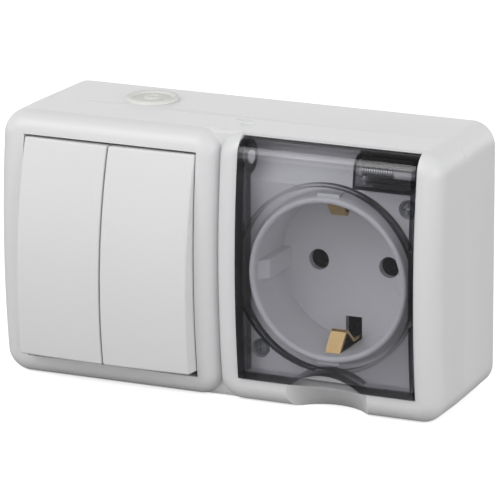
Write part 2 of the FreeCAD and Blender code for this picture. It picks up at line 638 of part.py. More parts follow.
PLUNGER_BOSS_RADIUS = 3.2
PLUNGER_LENGTH = 9.0
bore_end = "rocker_face - 5.2"
plunger_bore = "plunger_radius + running_gap"
spring_radius_mean = "plunger_radius - 0.3"
plunger_tip = "fulcrum_depth + blade_thickness + work_gap"
ROCKERS = {
    "left": ("switch_x - opening_half + work_gap", "switch_x - rocker_split / 2"),
    "right": ("switch_x + rocker_split / 2", "switch_x + opening_half - work_gap"),
}
outer_face = barrel_face("rocker_outer_face", 0.0)
inner_face = barrel_face("rocker_inner_face", size("rocker_top"))
for side, (left, right) in ROCKERS.items():
    middle = f"(({left}) + ({right})) / 2"
    mass = block(f"rocker_mass_{side}", left, right, "rocker_skirt", "rocker_face + 1",
                 "-rocker_half_height - rocker_foot", "rocker_half_height")
    cap = doc.addObject("Part::Common", f"rocker_cap_{side}")
    cap.Base = mass
    cap.Tool = outer_face
    room = block(f"rocker_room_{side}", f"{left} + rocker_wall", f"{right} - rocker_wall",
                 "rocker_skirt - 1", "rocker_face + 1",
                 "-rocker_half_height - rocker_foot + rocker_wall",
                 "rocker_half_height - rocker_wall")
    hollow = doc.addObject("Part::Common", f"rocker_hollow_{side}")
    hollow.Base = room
    hollow.Tool = inner_face
    cheeks = []
    bores = []
    for name, cheek in (("a", left), ("b", f"{right} - rocker_wall")):
        cheeks.append(block(f"cheek_{side}_{name}", cheek, f"{cheek} + rocker_wall",
                            "pivot_depth - trunnion_radius - 1.4", "rocker_skirt + 1",
                            "-4.5", "4.5"))
        bores.append(rod(f"cheek_bore_{side}_{name}", "right", f"{cheek} - 0.1", "pivot_depth",
                         "0", "trunnion_radius + running_gap", "rocker_wall + 0.2"))
    boss = rod(f"plunger_boss_{side}", "front", middle, "pivot_depth - 4", "0",
               f"{PLUNGER_BOSS_RADIUS}", "rocker_face - rocker_top / 2 - (pivot_depth - 4)")
    bore = rod(f"plunger_bore_{side}", "front", middle, "pivot_depth - 5", "0", plunger_bore,
               f"{bore_end} - (pivot_depth - 5)")
    cap_shell = cut(f"rocker_shell_{side}", cap, hollow)
    whole = fuse(f"rocker_whole_{side}", cap_shell, boss, *cheeks)
    node(f"rocker_{side}", tilt(cut(f"rocker_done_{side}", whole, bore, *bores)))

    # Sprung plunger that carries the push of the rocker to the contact rocker behind it.
    plunger = new_body(f"plunger_body_{side}")
    sketch = new_sketch(plunger, f"plunger_section_{side}", "XY_Plane")
    centre = size(middle)
    radius = size("plunger_radius")
    tip = -size(plunger_tip)
    draw_outline(sketch, (centre, tip - PLUNGER_LENGTH), (centre + radius, tip - PLUNGER_LENGTH),
                 (centre + radius, tip - radius),
                 ("arc", (centre + radius * math.sin(math.pi / 4),
                          tip - radius * (1 - math.cos(math.pi / 4))), (centre, tip)))
    sketch.addGeometry(Part.LineSegment(FreeCAD.Vector(centre, tip - PLUNGER_LENGTH, 0),
                                        FreeCAD.Vector(centre, tip, 0)), True)
    turn_about(plunger, sketch, "Axis0")
    node(f"plunger_{side}", tilt(plunger))

    spring = doc.addObject("Part::Feature", f"plunger_coil_{side}")
    wire_radius = size("plunger_spring_wire")
    seat = size(plunger_tip) + PLUNGER_LENGTH
    length = size(bore_end) - seat - 2 * wire_radius
    spring.Shape = coil(size(spring_radius_mean), wire_radius, length, 6)
    spring.Placement = FreeCAD.Placement(
        FreeCAD.Vector(centre, -(seat + wire_radius), 0), TURNS["front"])
    node(f"plunger_spring_{side}", tilt(spring))

# Switch base: an insulating block with a chamber for each contact rocker, closed by the
# retainer, whose four ears carry the rockers.
base_left = "switch_x - switch_base_width / 2"
base_right = "switch_x + switch_base_width / 2"
base_low = "-switch_base_height / 2"
base_high = "switch_base_height / 2"
base_mass = block("switch_base_mass", base_left, base_right, "base_rear", "switch_base_front",
                  base_low, base_high)
chambers = []
screw_holes = []
CENTRES = {side: f"(({left}) + ({right})) / 2" for side, (left, right) in ROCKERS.items()}
for side, centre in CENTRES.items():
    chambers.append(block(f"chamber_{side}", f"{centre} - blade_width / 2 - 1",
                          f"{centre} + blade_width / 2 + 1", "8", "switch_base_front + 1",
                          "-blade_reach - 2", "blade_reach + 2"))
    chambers.append(block(f"contact_well_{side}", f"{centre} - 3", f"{centre} + 3", "6",
                          "switch_base_front + 1", "blade_reach - 3",
                          "switch_base_height / 2 + 1"))
chambers.append(block("common_well", "switch_x - 14.6", "switch_x + 14.6", "6",
                      "switch_base_front + 1", "-1.8", "1.8"))
chambers.append(block("common_terminal_well", "switch_x - 3", "switch_x + 3", "6",
                      "switch_base_front + 1", "-switch_base_height / 2 - 1", "0"))
for number, (along, up) in enumerate(SWITCH_BASE_SCREWS):
    screw_holes.append(rod(f"switch_base_hole_{number}", "front", along, "base_rear - 1", up,
                           "screw_shank_radius + 0.2", "switch_base_front"))
node("switch_base", cut("switch_base_cut", base_mass, *chambers, *screw_holes))

retainer_plate = block("retainer_plate", base_left, base_right, "switch_base_front",
                       "retainer_front", base_low, base_high)
windows = []
for side, centre in CENTRES.items():
    windows.append(block(f"blade_window_{side}", f"{centre} - blade_width / 2 - 0.8",
                         f"{centre} + blade_width / 2 + 0.8", "switch_base_front - 1",
                         "retainer_front + 1", "-blade_reach - 1.2", "blade_reach + 1.2"))
    windows.append(block(f"contact_notch_{side}", f"{centre} - 3.2", f"{centre} + 3.2",
                         "switch_base_front - 1", "retainer_front + 1", "blade_reach + 3",
                         "switch_base_height / 2 + 1"))
windows.append(block("common_notch", "switch_x - 3.2", "switch_x + 3.2",
                     "switch_base_front - 1", "retainer_front + 1",
                     "-switch_base_height / 2 - 1", "-switch_base_height / 2 + 7"))
for number, (along, up) in enumerate(SWITCH_BASE_SCREWS):
    windows.append(rod(f"retainer_hole_{number}", "front", along, "switch_base_front - 1", up,
                       "screw_shank_radius + 0.2", "4"))
ears = []
for side, (left, right) in ROCKERS.items():
    for name, inner, outward in (
            ("a", f"{left} + rocker_wall + work_gap", f"{left} + 0.2"),
            ("b", f"{right} - rocker_wall - work_gap - ear_thickness", "")):
        ears.append(block(f"ear_{side}_{name}", inner, f"{inner} + ear_thickness",
                          "retainer_front - 0.5", "pivot_depth + trunnion_radius + 0.8",
                          "-3.5", "3.5"))
        start = outward if outward else inner
        ears.append(rod(f"trunnion_{side}_{name}", "right", start, "pivot_depth", "0",
                        "trunnion_radius",
                        "rocker_wall + work_gap + ear_thickness - 0.2"))
rail_slot = block("rail_slot", "switch_x - 14.7", "switch_x + 14.7", "switch_base_front - 1",
                  "fulcrum_depth", "-0.9", "0.9")
retainer_solid = fuse("retainer_solid", cut("retainer_cut", retainer_plate, *windows), *ears)
node("switch_retainer", cut("retainer_whole", retainer_solid, rail_slot))

# Contact rockers: brass strips that see-saw on the common bar, one end under the plunger.
for side, centre in CENTRES.items():
    blade = new_body(f"blade_{side}")
    sketch = new_sketch(blade, f"blade_section_{side}", "YZ_Plane", centre)
    depth = -size("fulcrum_depth")
    thick = size("blade_thickness")
    reach = size("blade_reach")
    knuckle = size("knuckle_radius")
    draw_outline(sketch, (depth, -knuckle), ("arc", (depth + knuckle, 0), (depth, knuckle)),
                 (depth, reach), (depth - thick, reach), (depth - thick, -reach),
                 (depth, -reach))
    pad(blade, sketch, "blade_width", midplane=True)
    pivot = FreeCAD.Vector(0, depth, 0)
    blade.Placement = FreeCAD.Placement(
        FreeCAD.Vector(), FreeCAD.Rotation(FreeCAD.Vector(1, 0, 0), size("blade_tilt")), pivot)
    node(f"contact_rocker_{side}", blade)

# Common bar with its terminal tongue, and one fixed contact for each gang.
saddle_front = "fulcrum_depth - knuckle_radius - work_gap"
common_parts = [
    block("common_rail", "switch_x - 14.4", "switch_x + 14.4", "8", f"{saddle_front}",
          "-0.6", "0.6"),
    block("common_stem", "switch_x - 2.4", "switch_x + 2.4", "8", "8 + blade_thickness",
          "-switch_base_height / 2 + 0.5", "0.6"),
    block("common_pad", "switch_x - 2.4", "switch_x + 2.4", "8",
          "switch_base_front - 0.5", "-switch_base_height / 2 + 0.5",
          "-switch_base_height / 2 + 5.5"),
]
common_screw = ("switch_x", "-switch_base_height / 2 + 3")
common_hole = rod("common_hole", "front", common_screw[0], "9.5", common_screw[1],
                  "screw_shank_radius", "12")
node("common_contact", cut("common_cut", fuse("common_fused", *common_parts), common_hole))
terminal_screws = [common_screw]
contact_front = "fulcrum_depth - (blade_reach - 1) * sin(blade_tilt * 1 deg) - 1.2 * work_gap"
for side, centre in CENTRES.items():
    spot = (centre, "switch_base_height / 2 - 3")
    terminal_screws.append(spot)
    pieces = [
        block(f"contact_stem_{side}", f"{centre} - 2.4", f"{centre} + 2.4", "8",
              "8 + blade_thickness", "blade_reach - 2.5", "switch_base_height / 2 - 0.5"),
        rod(f"contact_post_{side}", "front", centre, "8", "blade_reach - 1", "1.5",
            f"{contact_front} - 8"),
        block(f"contact_pad_{side}", f"{centre} - 2.4", f"{centre} + 2.4", "8",
              "switch_base_front - 0.5", "switch_base_height / 2 - 5.5",
              "switch_base_height / 2 - 0.5"),
    ]
    hole = rod(f"contact_hole_{side}", "front", spot[0], "9.5", spot[1], "screw_shank_radius",
               "12")
    node(f"fixed_contact_{side}", cut(f"fixed_contact_cut_{side}",
                                      fuse(f"fixed_contact_fused_{side}", *pieces), hole))


def screw(name, along, seat, up, shank):
    """A small cross-head screw; seat is the depth of the underside of its head."""
    body = new_body(name)
    sketch = new_sketch(body, name + "_section", "YZ_Plane", along)
    level = size(up)
    under_head = -size(seat)
    head = size("screw_head_radius")
    tall = size("screw_head_height")
    thin = size("screw_shank_radius") - 0.02
    draw_outline(
        sketch, (under_head + size(shank), level), (under_head + size(shank), level + thin),
        (under_head, level + thin), (under_head, level + head),
        (under_head - 0.5 * tall, level + head), (under_head - tall, level + 0.7 * head),
        (under_head - tall, level))
    sketch.addGeometry(Part.LineSegment(FreeCAD.Vector(under_head - tall, level, 0),
                                        FreeCAD.Vector(under_head, level, 0)), True)
    turn_about(body, sketch, "Axis0")
    arm = 1.35
    half = 0.3
    drive = new_sketch(body, name + "_drive", "XZ_Plane", f"{seat} + screw_head_height")
    for wide, high in ((arm, half), (half, arm)):
        cross = new_sketch(body, f"{name}_drive_{wide}", "XZ_Plane",
                           f"{seat} + screw_head_height") if wide != arm else drive
        draw_rectangle(cross, f"{along} - {wide}", f"{along} + {wide}", f"{up} - {high}",
                       f"{up} + {high}")
        pocket(body, cross, "0.9")
    return body


def screw_group(label, spots, seat, shank):
    members = [screw(f"{label}_{number}", along, seat, up, shank)
               for number, (along, up) in enumerate(spots)]
    group = doc.addObject("Part::Compound", label + "_set")
    group.Links = members
    node(label, group)


screw_group("switch_terminal_screws", terminal_screws, "switch_base_front", "4.8")
screw_group("switch_base_screws", SWITCH_BASE_SCREWS, "retainer_front",
            "retainer_front - skin + 0.5")

# Socket plate: plate, flared collar, well, side guide ribs and clip housings in one moulding.
# Above the collar the plate leans back at 45 degrees to clear the swing of the lid.
panel = new_body("socket_panel_body")
sketch = new_sketch(panel, "plate_section", "YZ_Plane", "socket_x")
face = -size("plate_depth")
thick = size("plate_thickness")
slant = math.sqrt(0.5) * (size("lid_ear_radius") + 2 * size("work_gap"))
knee = (size("hinge_up") - slant) - (-size("hinge_depth") + slant - face)
roof = size("half_height - skin - slip_gap - tongue_wall - work_gap")
foot = size("lid_low")
run = roof - knee
back_step = thick * math.tan(math.pi / 8)
draw_outline(sketch, (face, foot), (face, knee), (face + run, roof),
             (face + run + thick * math.sqrt(2), roof), (face + thick, knee - back_step),
             (face + thick, foot))
pad(panel, sketch, "plate_width", midplane=True)
opening = new_sketch(panel, "well_opening", "XZ_Plane", "plate_depth + 1")
draw_circle(opening, "socket_x", "0", "collar_radius - collar_wall / 2")
pocket(panel, opening, "plate_thickness + 6")
for side, (along, up) in PLATE_SCREWS.items():
    boss = new_sketch(panel, f"plate_boss_{side}", "XZ_Plane", plate_boss_rear)
    draw_circle(boss, along, up, "recess_radius + 1.2")
    pad(panel, boss, "plate_depth - 0.5 - (" + plate_boss_rear + ")")
sketch = new_sketch(panel, "well_section", "YZ_Plane", "socket_x")
inner = size("well_radius")
outer = size("collar_radius")
rim = -size("rim_depth")
floor = -size("floor_depth")
lip = (outer - inner) / 2
draw_outline(
    sketch, (floor, 0), (floor, inner), (rim + lip, inner),
    ("arc", (rim, inner + lip), (rim + lip, outer)), (face, outer + size("collar_flare")),
    (face + thick, outer + size("collar_flare")), (face + thick, outer), (floor + thick, outer),
    (floor + thick, 0))
turn_about(panel, sketch, "H_Axis")
ribs = new_sketch(panel, "guide_ribs", "XZ_Plane", "floor_depth - 0.5")
for left, right in (("-well_radius - 0.5", "-well_radius + rib_reach"),
                    ("well_radius - rib_reach", "well_radius + 0.5")):
    draw_rectangle(ribs, f"socket_x + {left}", f"socket_x + {right}", "-rib_width / 2",
                   "rib_width / 2")
pad(panel, ribs, "well_depth - rib_drop + 0.5")
housings = new_sketch(panel, "clip_housings", "XZ_Plane", "plate_depth - 0.5")
for low, high in (("-tab_reach", "-well_radius - 0.4"), ("well_radius + 0.4", "tab_reach")):
    draw_rectangle(housings, "socket_x - tab_width / 2", "socket_x + tab_width / 2", low, high)
pad(panel, housings, "tab_depth - plate_depth + 0.5")
pin_holes = new_sketch(panel, "pin_holes", "XZ_Plane", "floor_depth + 0.5")
for sign in ("-", "+"):
    draw_circle(pin_holes, f"socket_x {sign} pin_spacing / 2", "0", "pin_hole_radius")
pocket(panel, pin_holes, "plate_thickness + 1")
floor_slots = new_sketch(panel, "floor_slots", "XZ_Plane", "floor_depth + 0.5")
wall_slots = new_sketch(panel, "wall_slots", "XZ_Plane", "slot_top")
for sign in ("", "-"):
    low, high = ("slot_start", "well_radius + 0.1")
    near, far = ("well_radius - 0.6", "collar_radius + 0.2")
    if sign:
        low, high = ("-(well_radius + 0.1)", "-slot_start")
        near, far = ("-(collar_radius + 0.2)", "-(well_radius - 0.6)")
    draw_rectangle(floor_slots, "socket_x - slot_width / 2", "socket_x + slot_width / 2", low,
                   high)
    draw_rectangle(wall_slots, "socket_x - slot_width / 2", "socket_x + slot_width / 2", near,
                   far)
pocket(panel, floor_slots, "plate_thickness + 1")
pocket(panel, wall_slots, "slot_top - floor_depth + plate_thickness + 0.5")
recesses = new_sketch(panel, "screw_recesses", "XZ_Plane", "plate_depth + 0.5")
shafts = new_sketch(panel, "screw_shafts", "XZ_Plane", "plate_depth + 0.5")
for along, up in PLATE_SCREWS.values():
    draw_circle(recesses, along, up, "recess_radius")
    draw_circle(shafts, along, up, "screw_shank_radius + 0.2")
pocket(panel, recesses, "recess_deep + 0.5")
pocket(panel, shafts, "plate_thickness + recess_deep + 2")
node("socket_panel", panel)
plate_seat = "plate_depth - recess_deep"
for side, (along, up) in PLATE_SCREWS.items():
    node(f"panel_screw_{side}", screw(f"panel_screw_body_{side}", along, plate_seat, up, "8"))

# Socket base: carries the two pin contacts and the earth strip behind the well.
contact_rear = "socket_base_front - sleeve_set - sleeve_length"
base = block("socket_base_mass", "socket_x - socket_base_width / 2",
             "socket_x + socket_base_width / 2", "base_rear", "socket_base_front",
             "-socket_base_height / 2", "socket_base_height / 2")
hollows = []
for number, (along, up) in enumerate(SOCKET_BASE_SCREWS):
    hollows.append(rod(f"socket_base_hole_{number}", "front", along, "base_rear - 1", up,
                       "screw_shank_radius + 0.2", "socket_base_front"))
    hollows.append(rod(f"socket_base_sink_{number}", "front", along,
                       "socket_base_front - 4", up, "screw_head_radius + 0.3", "5"))
PIN_CONTACTS = {"live": "-", "neutral": "+"}
for name, sign in PIN_CONTACTS.items():
    axis = f"socket_x {sign} pin_spacing / 2"
    hollows.append(rod(f"{name}_chamber", "front", axis, f"{contact_rear} - 0.8", "0",
                       "sleeve_radius + 0.6", "sleeve_length + 1.1"))
    hollows.append(rod(f"{name}_guide", "front", axis, contact_rear, "0", "pin_hole_radius + 0.1",
                       "sleeve_length + sleeve_set + 1"))
    hollows.append(block(f"{name}_channel", f"{axis} - 2.4", f"{axis} + 2.4",
                         f"{contact_rear} - 0.8", f"{contact_rear} + sleeve_length + 0.3",
                         "-socket_base_height / 2 - 1", "0"))
    hollows.append(block(f"{name}_mouth", f"{axis} - 2.4", f"{axis} + 2.4",
                         f"{contact_rear}", "socket_base_front + 1",
                         "-socket_base_height / 2 - 1", "-socket_base_height / 2 + 6.2"))
for end, low, high in (("low", "-well_radius - 0.6", "1.8 - slot_start"),
                       ("high", "slot_start - 1.8", "well_radius + 0.6")):
    hollows.append(block(f"earth_pocket_{end}", "socket_x - clip_width / 2 - work_gap",
                         "socket_x + clip_width / 2 + work_gap",
                         "socket_base_front - clip_pocket", "socket_base_front + 1", low, high))
node("socket_base", cut("socket_base_cut", base, *hollows))
screw_group("socket_base_screws", SOCKET_BASE_SCREWS, "socket_base_front - 4",
            "socket_base_front - 4 - skin + 0.5")
socket_terminals = []
for name, sign in PIN_CONTACTS.items():
    axis = f"socket_x {sign} pin_spacing / 2"
    spot = (axis, "-socket_base_height / 2 + 3.2")
    socket_terminals.append(spot)
    sleeve = rod(f"{name}_sleeve", "front", axis, contact_rear, "0", "sleeve_radius",
                 "sleeve_length - 0.4")
    bore = rod(f"{name}_bore", "front", axis, f"{contact_rear} + blade_thickness", "0",
               "sleeve_radius - blade_thickness * 0.75", "sleeve_length")
    split = block(f"{name}_split", f"{axis} - 0.5", f"{axis} + 0.5",
                  f"{contact_rear} + blade_thickness + 1", "socket_base_front + 1",
                  "-sleeve_radius - 1", "sleeve_radius + 1")
    stem = block(f"{name}_stem", f"{axis} - 2", f"{axis} + 2", contact_rear,
                 f"{contact_rear} + blade_thickness", "-socket_base_height / 2 + 0.6", "0")
    clamp = block(f"{name}_clamp", f"{axis} - 2", f"{axis} + 2", contact_rear,
                  "socket_base_front - 1.4", "-socket_base_height / 2 + 0.6",
                  "-socket_base_height / 2 + 5.8")
    thread = rod(f"{name}_thread", "front", spot[0], f"{contact_rear} + 2", spot[1],
                 "screw_shank_radius", "20")
    solid = fuse(f"{name}_solid", cut(f"{name}_tube", sleeve, bore, split), stem, clamp)
    node(f"{name}_contact", cut(f"{name}_finished", solid, thread))
screw_group("socket_terminal_screws", socket_terminals, "socket_base_front - 1.4", "5.5")

# Earth strip: one bent brass strip behind the floor, with a sprung V in each clip slot.
strip = new_body("earth_strip_body")
sketch = new_sketch(strip, "earth_strip_section", "YZ_Plane", "socket_x")
leaf = size("blade_thickness")
flat = -size("floor_depth - plate_thickness - work_gap / 2") + leaf / 2
dip = flat + size("clip_dip")
wall = size("well_radius")
near = size("slot_start") - 0.6
peak = size("clip_peak") + leaf / 2
peak_y = -size("clip_peak_depth")
heel_y = -size("floor_depth") - 4.6
mouth = -size("slot_top") + 0.5
centre_line = [(flat, 0.0), (flat, near - 0.6), (dip, near), (dip, wall - 1.1), (heel_y, wall - 1.0)]
bend = size("clip_bend_radius")
for step in range(-2, 3):
    turn = math.radians(22.5 * step)
    centre_line.append((peak_y - bend * math.sin(turn), peak + bend * (1 - math.cos(turn))))
centre_line.append((mouth, wall + 0.5))


def offset_line(points, shift):
    """Points beside an open line, moved square to its runs by a shift."""
    moved = []
    for index, (y, z) in enumerate(points):
        before = points[max(index - 1, 0)]
        after = points[min(index + 1, len(points) - 1)]
        first = math.atan2(z - before[1], y - before[0]) if index else None
        last = math.atan2(after[1] - z, after[0] - y) if index < len(points) - 1 else None
        first = last if first is None else first
        last = first if last is None else last
        bend = (last - first + math.pi) % (2 * math.pi) - math.pi
        square = first + bend / 2 + math.pi / 2
        far = shift / math.cos(bend / 2)
        moved.append((y + far * math.cos(square), z + far * math.sin(square)))
    return moved


upper = offset_line(centre_line, leaf / 2)[1:]
lower = offset_line(centre_line, -leaf / 2)[1:]
mirrored_upper = [(y, -z) for y, z in upper]
mirrored_lower = [(y, -z) for y, z in lower]
draw_outline(sketch, *upper, *reversed(lower), *mirrored_lower, *reversed(mirrored_upper))
pad(strip, sketch, "clip_width", midplane=True)
node("earth_strip", strip)

# Lid: smoked panel with the crown of the cover, rolled over at the top about the hinge line.
lid = new_body("lid_body")
sketch = new_sketch(lid, "lid_section", "YZ_Plane", "socket_x")
front = size("lid_front")
radius = size("crown_radius")
hinge_y = -size("hinge_depth")
hinge_z = size("hinge_up")
roll = size("roll_radius")
low = size("lid_low")
rear = -size("lid_rear")
wall = size("lid_thickness")
ear = size("lid_ear_radius")
TUCK = math.radians(80)


def lid_front_y(z, inset=0.0):
    """Y of the lid's face, a shallow arc that meets the roll at the hinge height."""
    return -(front - inset - z * z / (2 * radius))


def on_roll(angle, distance):
    return (hinge_y + distance * math.cos(angle), hinge_z + distance * math.sin(angle))


draw_outline(
    sketch, (rear, low), (lid_front_y(low), low),
    ("arc", (lid_front_y((low + hinge_z) / 2), (low + hinge_z) / 2),
     (hinge_y - roll, hinge_z)),
    ("arc", on_roll((math.pi + TUCK) / 2, roll), on_roll(TUCK, roll)), on_roll(TUCK, ear),
    ("arc", on_roll(TUCK / 2 - math.pi / 4, ear), on_roll(-math.pi / 2, ear)),
    (rear, hinge_z - ear))
pad(lid, sketch, "lid_right - lid_left", midplane=True)
arch = new_sketch(lid, "lid_arch", "XZ_Plane", "lid_rear - 1")
draw_circle(arch, "socket_x", "arch_centre", "arch_radius")
pocket(lid, arch, "20", forwards=True)
sketch = new_sketch(lid, "lid_void", "YZ_Plane", "socket_x")
inner_low = low + wall
behind = rear + 12
draw_outline(
    sketch, (behind, inner_low), (lid_front_y(inner_low, wall), inner_low),
    ("arc", (lid_front_y((inner_low + hinge_z) / 2, wall), (inner_low + hinge_z) / 2),
     (hinge_y - roll + wall, hinge_z)),
    ("arc", on_roll((math.pi + TUCK) / 2, roll - wall), on_roll(TUCK, roll - wall)),
    on_roll(TUCK, roll + 2), (behind, on_roll(TUCK, roll + 2)[1]))
pocket(lid, sketch, "lid_right - lid_left - 2 * lid_thickness", midplane=True)
rim = new_sketch(lid, "arch_wall", "XZ_Plane", "lid_rear")
centre_x = size("socket_x")
centre_z = size("arch_centre")
small = size("arch_radius")
large = small + size("arch_wall")
small_x = math.sqrt(small ** 2 - (low - centre_z) ** 2)
large_x = math.sqrt(large ** 2 - (low - centre_z) ** 2)
draw_outline(
    rim, (centre_x - large_x, low), ("arc", (centre_x, centre_z + large),
                                     (centre_x + large_x, low)),
    (centre_x + small_x, low), ("arc", (centre_x, centre_z + small), (centre_x - small_x, low)))
pad(lid, rim, "lid_front - arch_wall_front - lid_rear")
ring = new_sketch(lid, "seal_ring", "XZ_Plane", "lid_front - 4.4")
ring_x = size("(lid_right - lid_left - lid_thickness) / 2")
ring_z = size("seal_up")
for side in (1, -1):
    ends = []
    for ring_radius in (size("seal_radius + seal_wall / 2"), size("seal_radius - seal_wall / 2")):
        ends.append((ring_radius, math.sqrt(ring_radius ** 2 - ring_x ** 2)))
    (outer_r, outer_z), (inner_r, inner_z) = ends
    draw_outline(
        ring, (centre_x - ring_x, ring_z + side * outer_z),
        ("arc", (centre_x, ring_z + side * outer_r), (centre_x + ring_x, ring_z + side * outer_z)),
        (centre_x + ring_x, ring_z + side * inner_z),
        ("arc", (centre_x, ring_z + side * inner_r), (centre_x - ring_x, ring_z + side * inner_z)))
pad(lid, ring, "3.1")
spring_left = "boss_tip - spring_length - 1.6"
housing = new_sketch(lid, "spring_housing", "YZ_Plane", spring_left)
back = size("hinge_depth - 1.2")
shelf_z = size("hinge_up - 4.3")
half_wall = wall / 2
draw_outline(
    housing, (-back, shelf_z), (lid_front_y(shelf_z, half_wall), shelf_z),
    (hinge_y - roll + half_wall, hinge_z),
    ("arc", on_roll((math.pi + TUCK) / 2, roll - half_wall), on_roll(TUCK, roll - half_wall)),
    (-back, on_roll(TUCK, roll - half_wall)[1] - 1.5))
pad(lid, housing, "lid_thickness / 2")
shelf = new_sketch(lid, "spring_shelf", "XZ_Plane", "hinge_depth - 1.2")
draw_rectangle(shelf, spring_left, "lid_right - lid_thickness / 2", "hinge_up - 4.3",
               "hinge_up - 3.3")
pad(lid, shelf, "lid_front - lid_thickness - 1 - (hinge_depth - 1.2)")
bores = new_sketch(lid, "hinge_bores", "YZ_Plane", "socket_x")
draw_circle(bores, "-hinge_depth", "hinge_up", "stud_radius + running_gap")
pocket(lid, bores, "opening_width + 2", midplane=True)
nub = new_sketch(lid, "snap_nub", "XZ_Plane", "lid_rear + 1")
draw_rectangle(nub, "lid_right - 0.2", "lid_right + work_gap / 2", "-8.4", "-4.6")
pad(lid, nub, "2.6")
node("lid", lid)

# Lid spring: a close coil round the arbor, with a leg that bears on the lid.
lid_spring = doc.addObject("Part::Feature", "lid_coil")
mean = size("spring_radius")
wire_radius = size("spring_wire")
windings = coil(mean, wire_radius, size("spring_length"), size("spring_turns"))
leg = Part.makeCylinder(wire_radius, 3.0, FreeCAD.Vector(mean, 0, 0), FreeCAD.Vector(0, -1, 0))
lid_spring.Shape = windings.fuse(leg)
lid_spring.Placement = FreeCAD.Placement(
    FreeCAD.Vector(size("boss_tip - spring_length - 0.5"), hinge_y, hinge_z), TURNS["right"])
node("lid_spring", lid_spring)

doc.recompute()
for thing in doc.Objects:
    if "Invalid" in thing.State or "Error" in thing.State:
        raise RuntimeError(f"{thing.Label} failed: {thing.State}")
os.makedirs("parts", exist_ok=True)
for thing in nodes:
    shape = thing.Shape
    if shape.isNull() or not shape.isValid():
        raise RuntimeError(f"{thing.Label} has no valid shape")
    shape.exportStep(f"parts/{thing.Label}.step")
    box = shape.BoundBox
    print(f"{thing.Label:24s} solids {len(shape.Solids)} volume {shape.Volume:9.1f}",
          f"x {box.XMin:7.2f} {box.XMax:7.2f} y {box.YMin:7.2f} {box.YMax:7.2f}",
          f"z {box.ZMin:7.2f} {box.ZMax:7.2f}")
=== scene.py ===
import bpy
import bmesh
import json
import math
from mathutils import Matrix, Vector


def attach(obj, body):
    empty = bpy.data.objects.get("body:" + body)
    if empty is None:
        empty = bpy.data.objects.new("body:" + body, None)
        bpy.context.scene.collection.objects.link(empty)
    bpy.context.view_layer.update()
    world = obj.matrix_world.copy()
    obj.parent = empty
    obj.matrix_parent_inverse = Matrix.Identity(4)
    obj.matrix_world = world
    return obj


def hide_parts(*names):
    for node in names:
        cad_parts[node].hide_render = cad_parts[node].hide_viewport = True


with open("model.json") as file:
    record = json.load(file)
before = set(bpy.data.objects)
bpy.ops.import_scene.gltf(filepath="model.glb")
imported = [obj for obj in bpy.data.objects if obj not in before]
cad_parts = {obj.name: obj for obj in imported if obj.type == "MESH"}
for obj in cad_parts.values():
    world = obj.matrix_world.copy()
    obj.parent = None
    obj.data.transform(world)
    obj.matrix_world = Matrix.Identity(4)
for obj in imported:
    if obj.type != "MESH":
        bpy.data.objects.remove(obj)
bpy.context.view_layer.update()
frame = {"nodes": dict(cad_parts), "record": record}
nodes = frame["nodes"]
scene = bpy.context.scene

# Back box
# A tray of white ABS, injection moulded, that is screwed to the wall and carries everything
# else. It tapers a little towards the wall so that it leaves its mould. Lengths here and
# below are in millimetres, X to the right, Y into the wall, Z up.
WIDTH = 120.0
HEIGHT = 69.0
BOX_DEPTH = 21.5
CORNER = 6.0
SKIN = 2.0
WELD = 0.0005
CLOUD_MM = 45


def block(left, right, rear, front, low, high):
    """A box given by its sides; rear and front are depths in front of the wall."""
    bm = bmesh.new()
    middle = Vector(((left + right) / 2, -(rear + front) / 2, (low + high) / 2))
    lengths = Matrix.Diagonal((right - left, front - rear, high - low, 1))
    bmesh.ops.create_cube(bm, size=1, matrix=Matrix.Translation(middle) @ lengths)
    return bm


def rod(start, end, radius, sides=64):
    """A round bar between two points."""
    start = Vector(start)
    end = Vector(end)
    heading = end - start
    turn = heading.to_track_quat("Z", "Y").to_matrix().to_4x4()
    bm = bmesh.new()
    bmesh.ops.create_cone(bm, cap_ends=True, segments=sides, radius1=radius, radius2=radius,
                          depth=heading.length, matrix=Matrix.Translation((start + end) / 2) @ turn)
    return bm


def forward_rod(along, up, rear, front, radius, sides=64):
    """A round bar that points straight away from the wall, between two depths."""
    return rod((along, -rear, up), (along, -front, up), radius, sides)


def round_edges(bm, test, radius, segments):
    """Rounds the edges that pass a test."""
    edges = [edge for edge in bm.edges if test(edge)]
    bmesh.ops.bevel(bm, geom=edges, offset=radius, offset_type="OFFSET", segments=segments,
                    profile=0.5, affect="EDGES", material=-1, clamp_overlap=True)
    return bm


def runs_along_y(edge):
    """A test that picks the edges square to the wall."""
    way = (edge.verts[1].co - edge.verts[0].co).normalized()
    return abs(way.y) > 0.99


def in_front_of(depth):
    """Makes a test that picks the edges lying wholly in front of a depth."""
    return lambda edge: all(v.co.y < -depth for v in edge.verts)


def slice_across(bm, normal, first, last, step):
    """Cuts a mesh by parallel planes, so that it can be bent."""
    normal = Vector(normal)
    level = first
    while level < last + 1e-6:
        bmesh.ops.bisect_plane(bm, geom=bm.verts[:] + bm.edges[:] + bm.faces[:], dist=1e-5,
                               plane_co=normal * level, plane_no=normal)
        level += step
    return bm


def as_object(bm, name):
    """Puts a mesh into the scene and frees its bmesh."""
    mesh = bpy.data.meshes.new(name)
    bm.to_mesh(mesh)
    bm.free()
    thing = bpy.data.objects.new(name, mesh)
    scene.collection.objects.link(thing)
    return thing


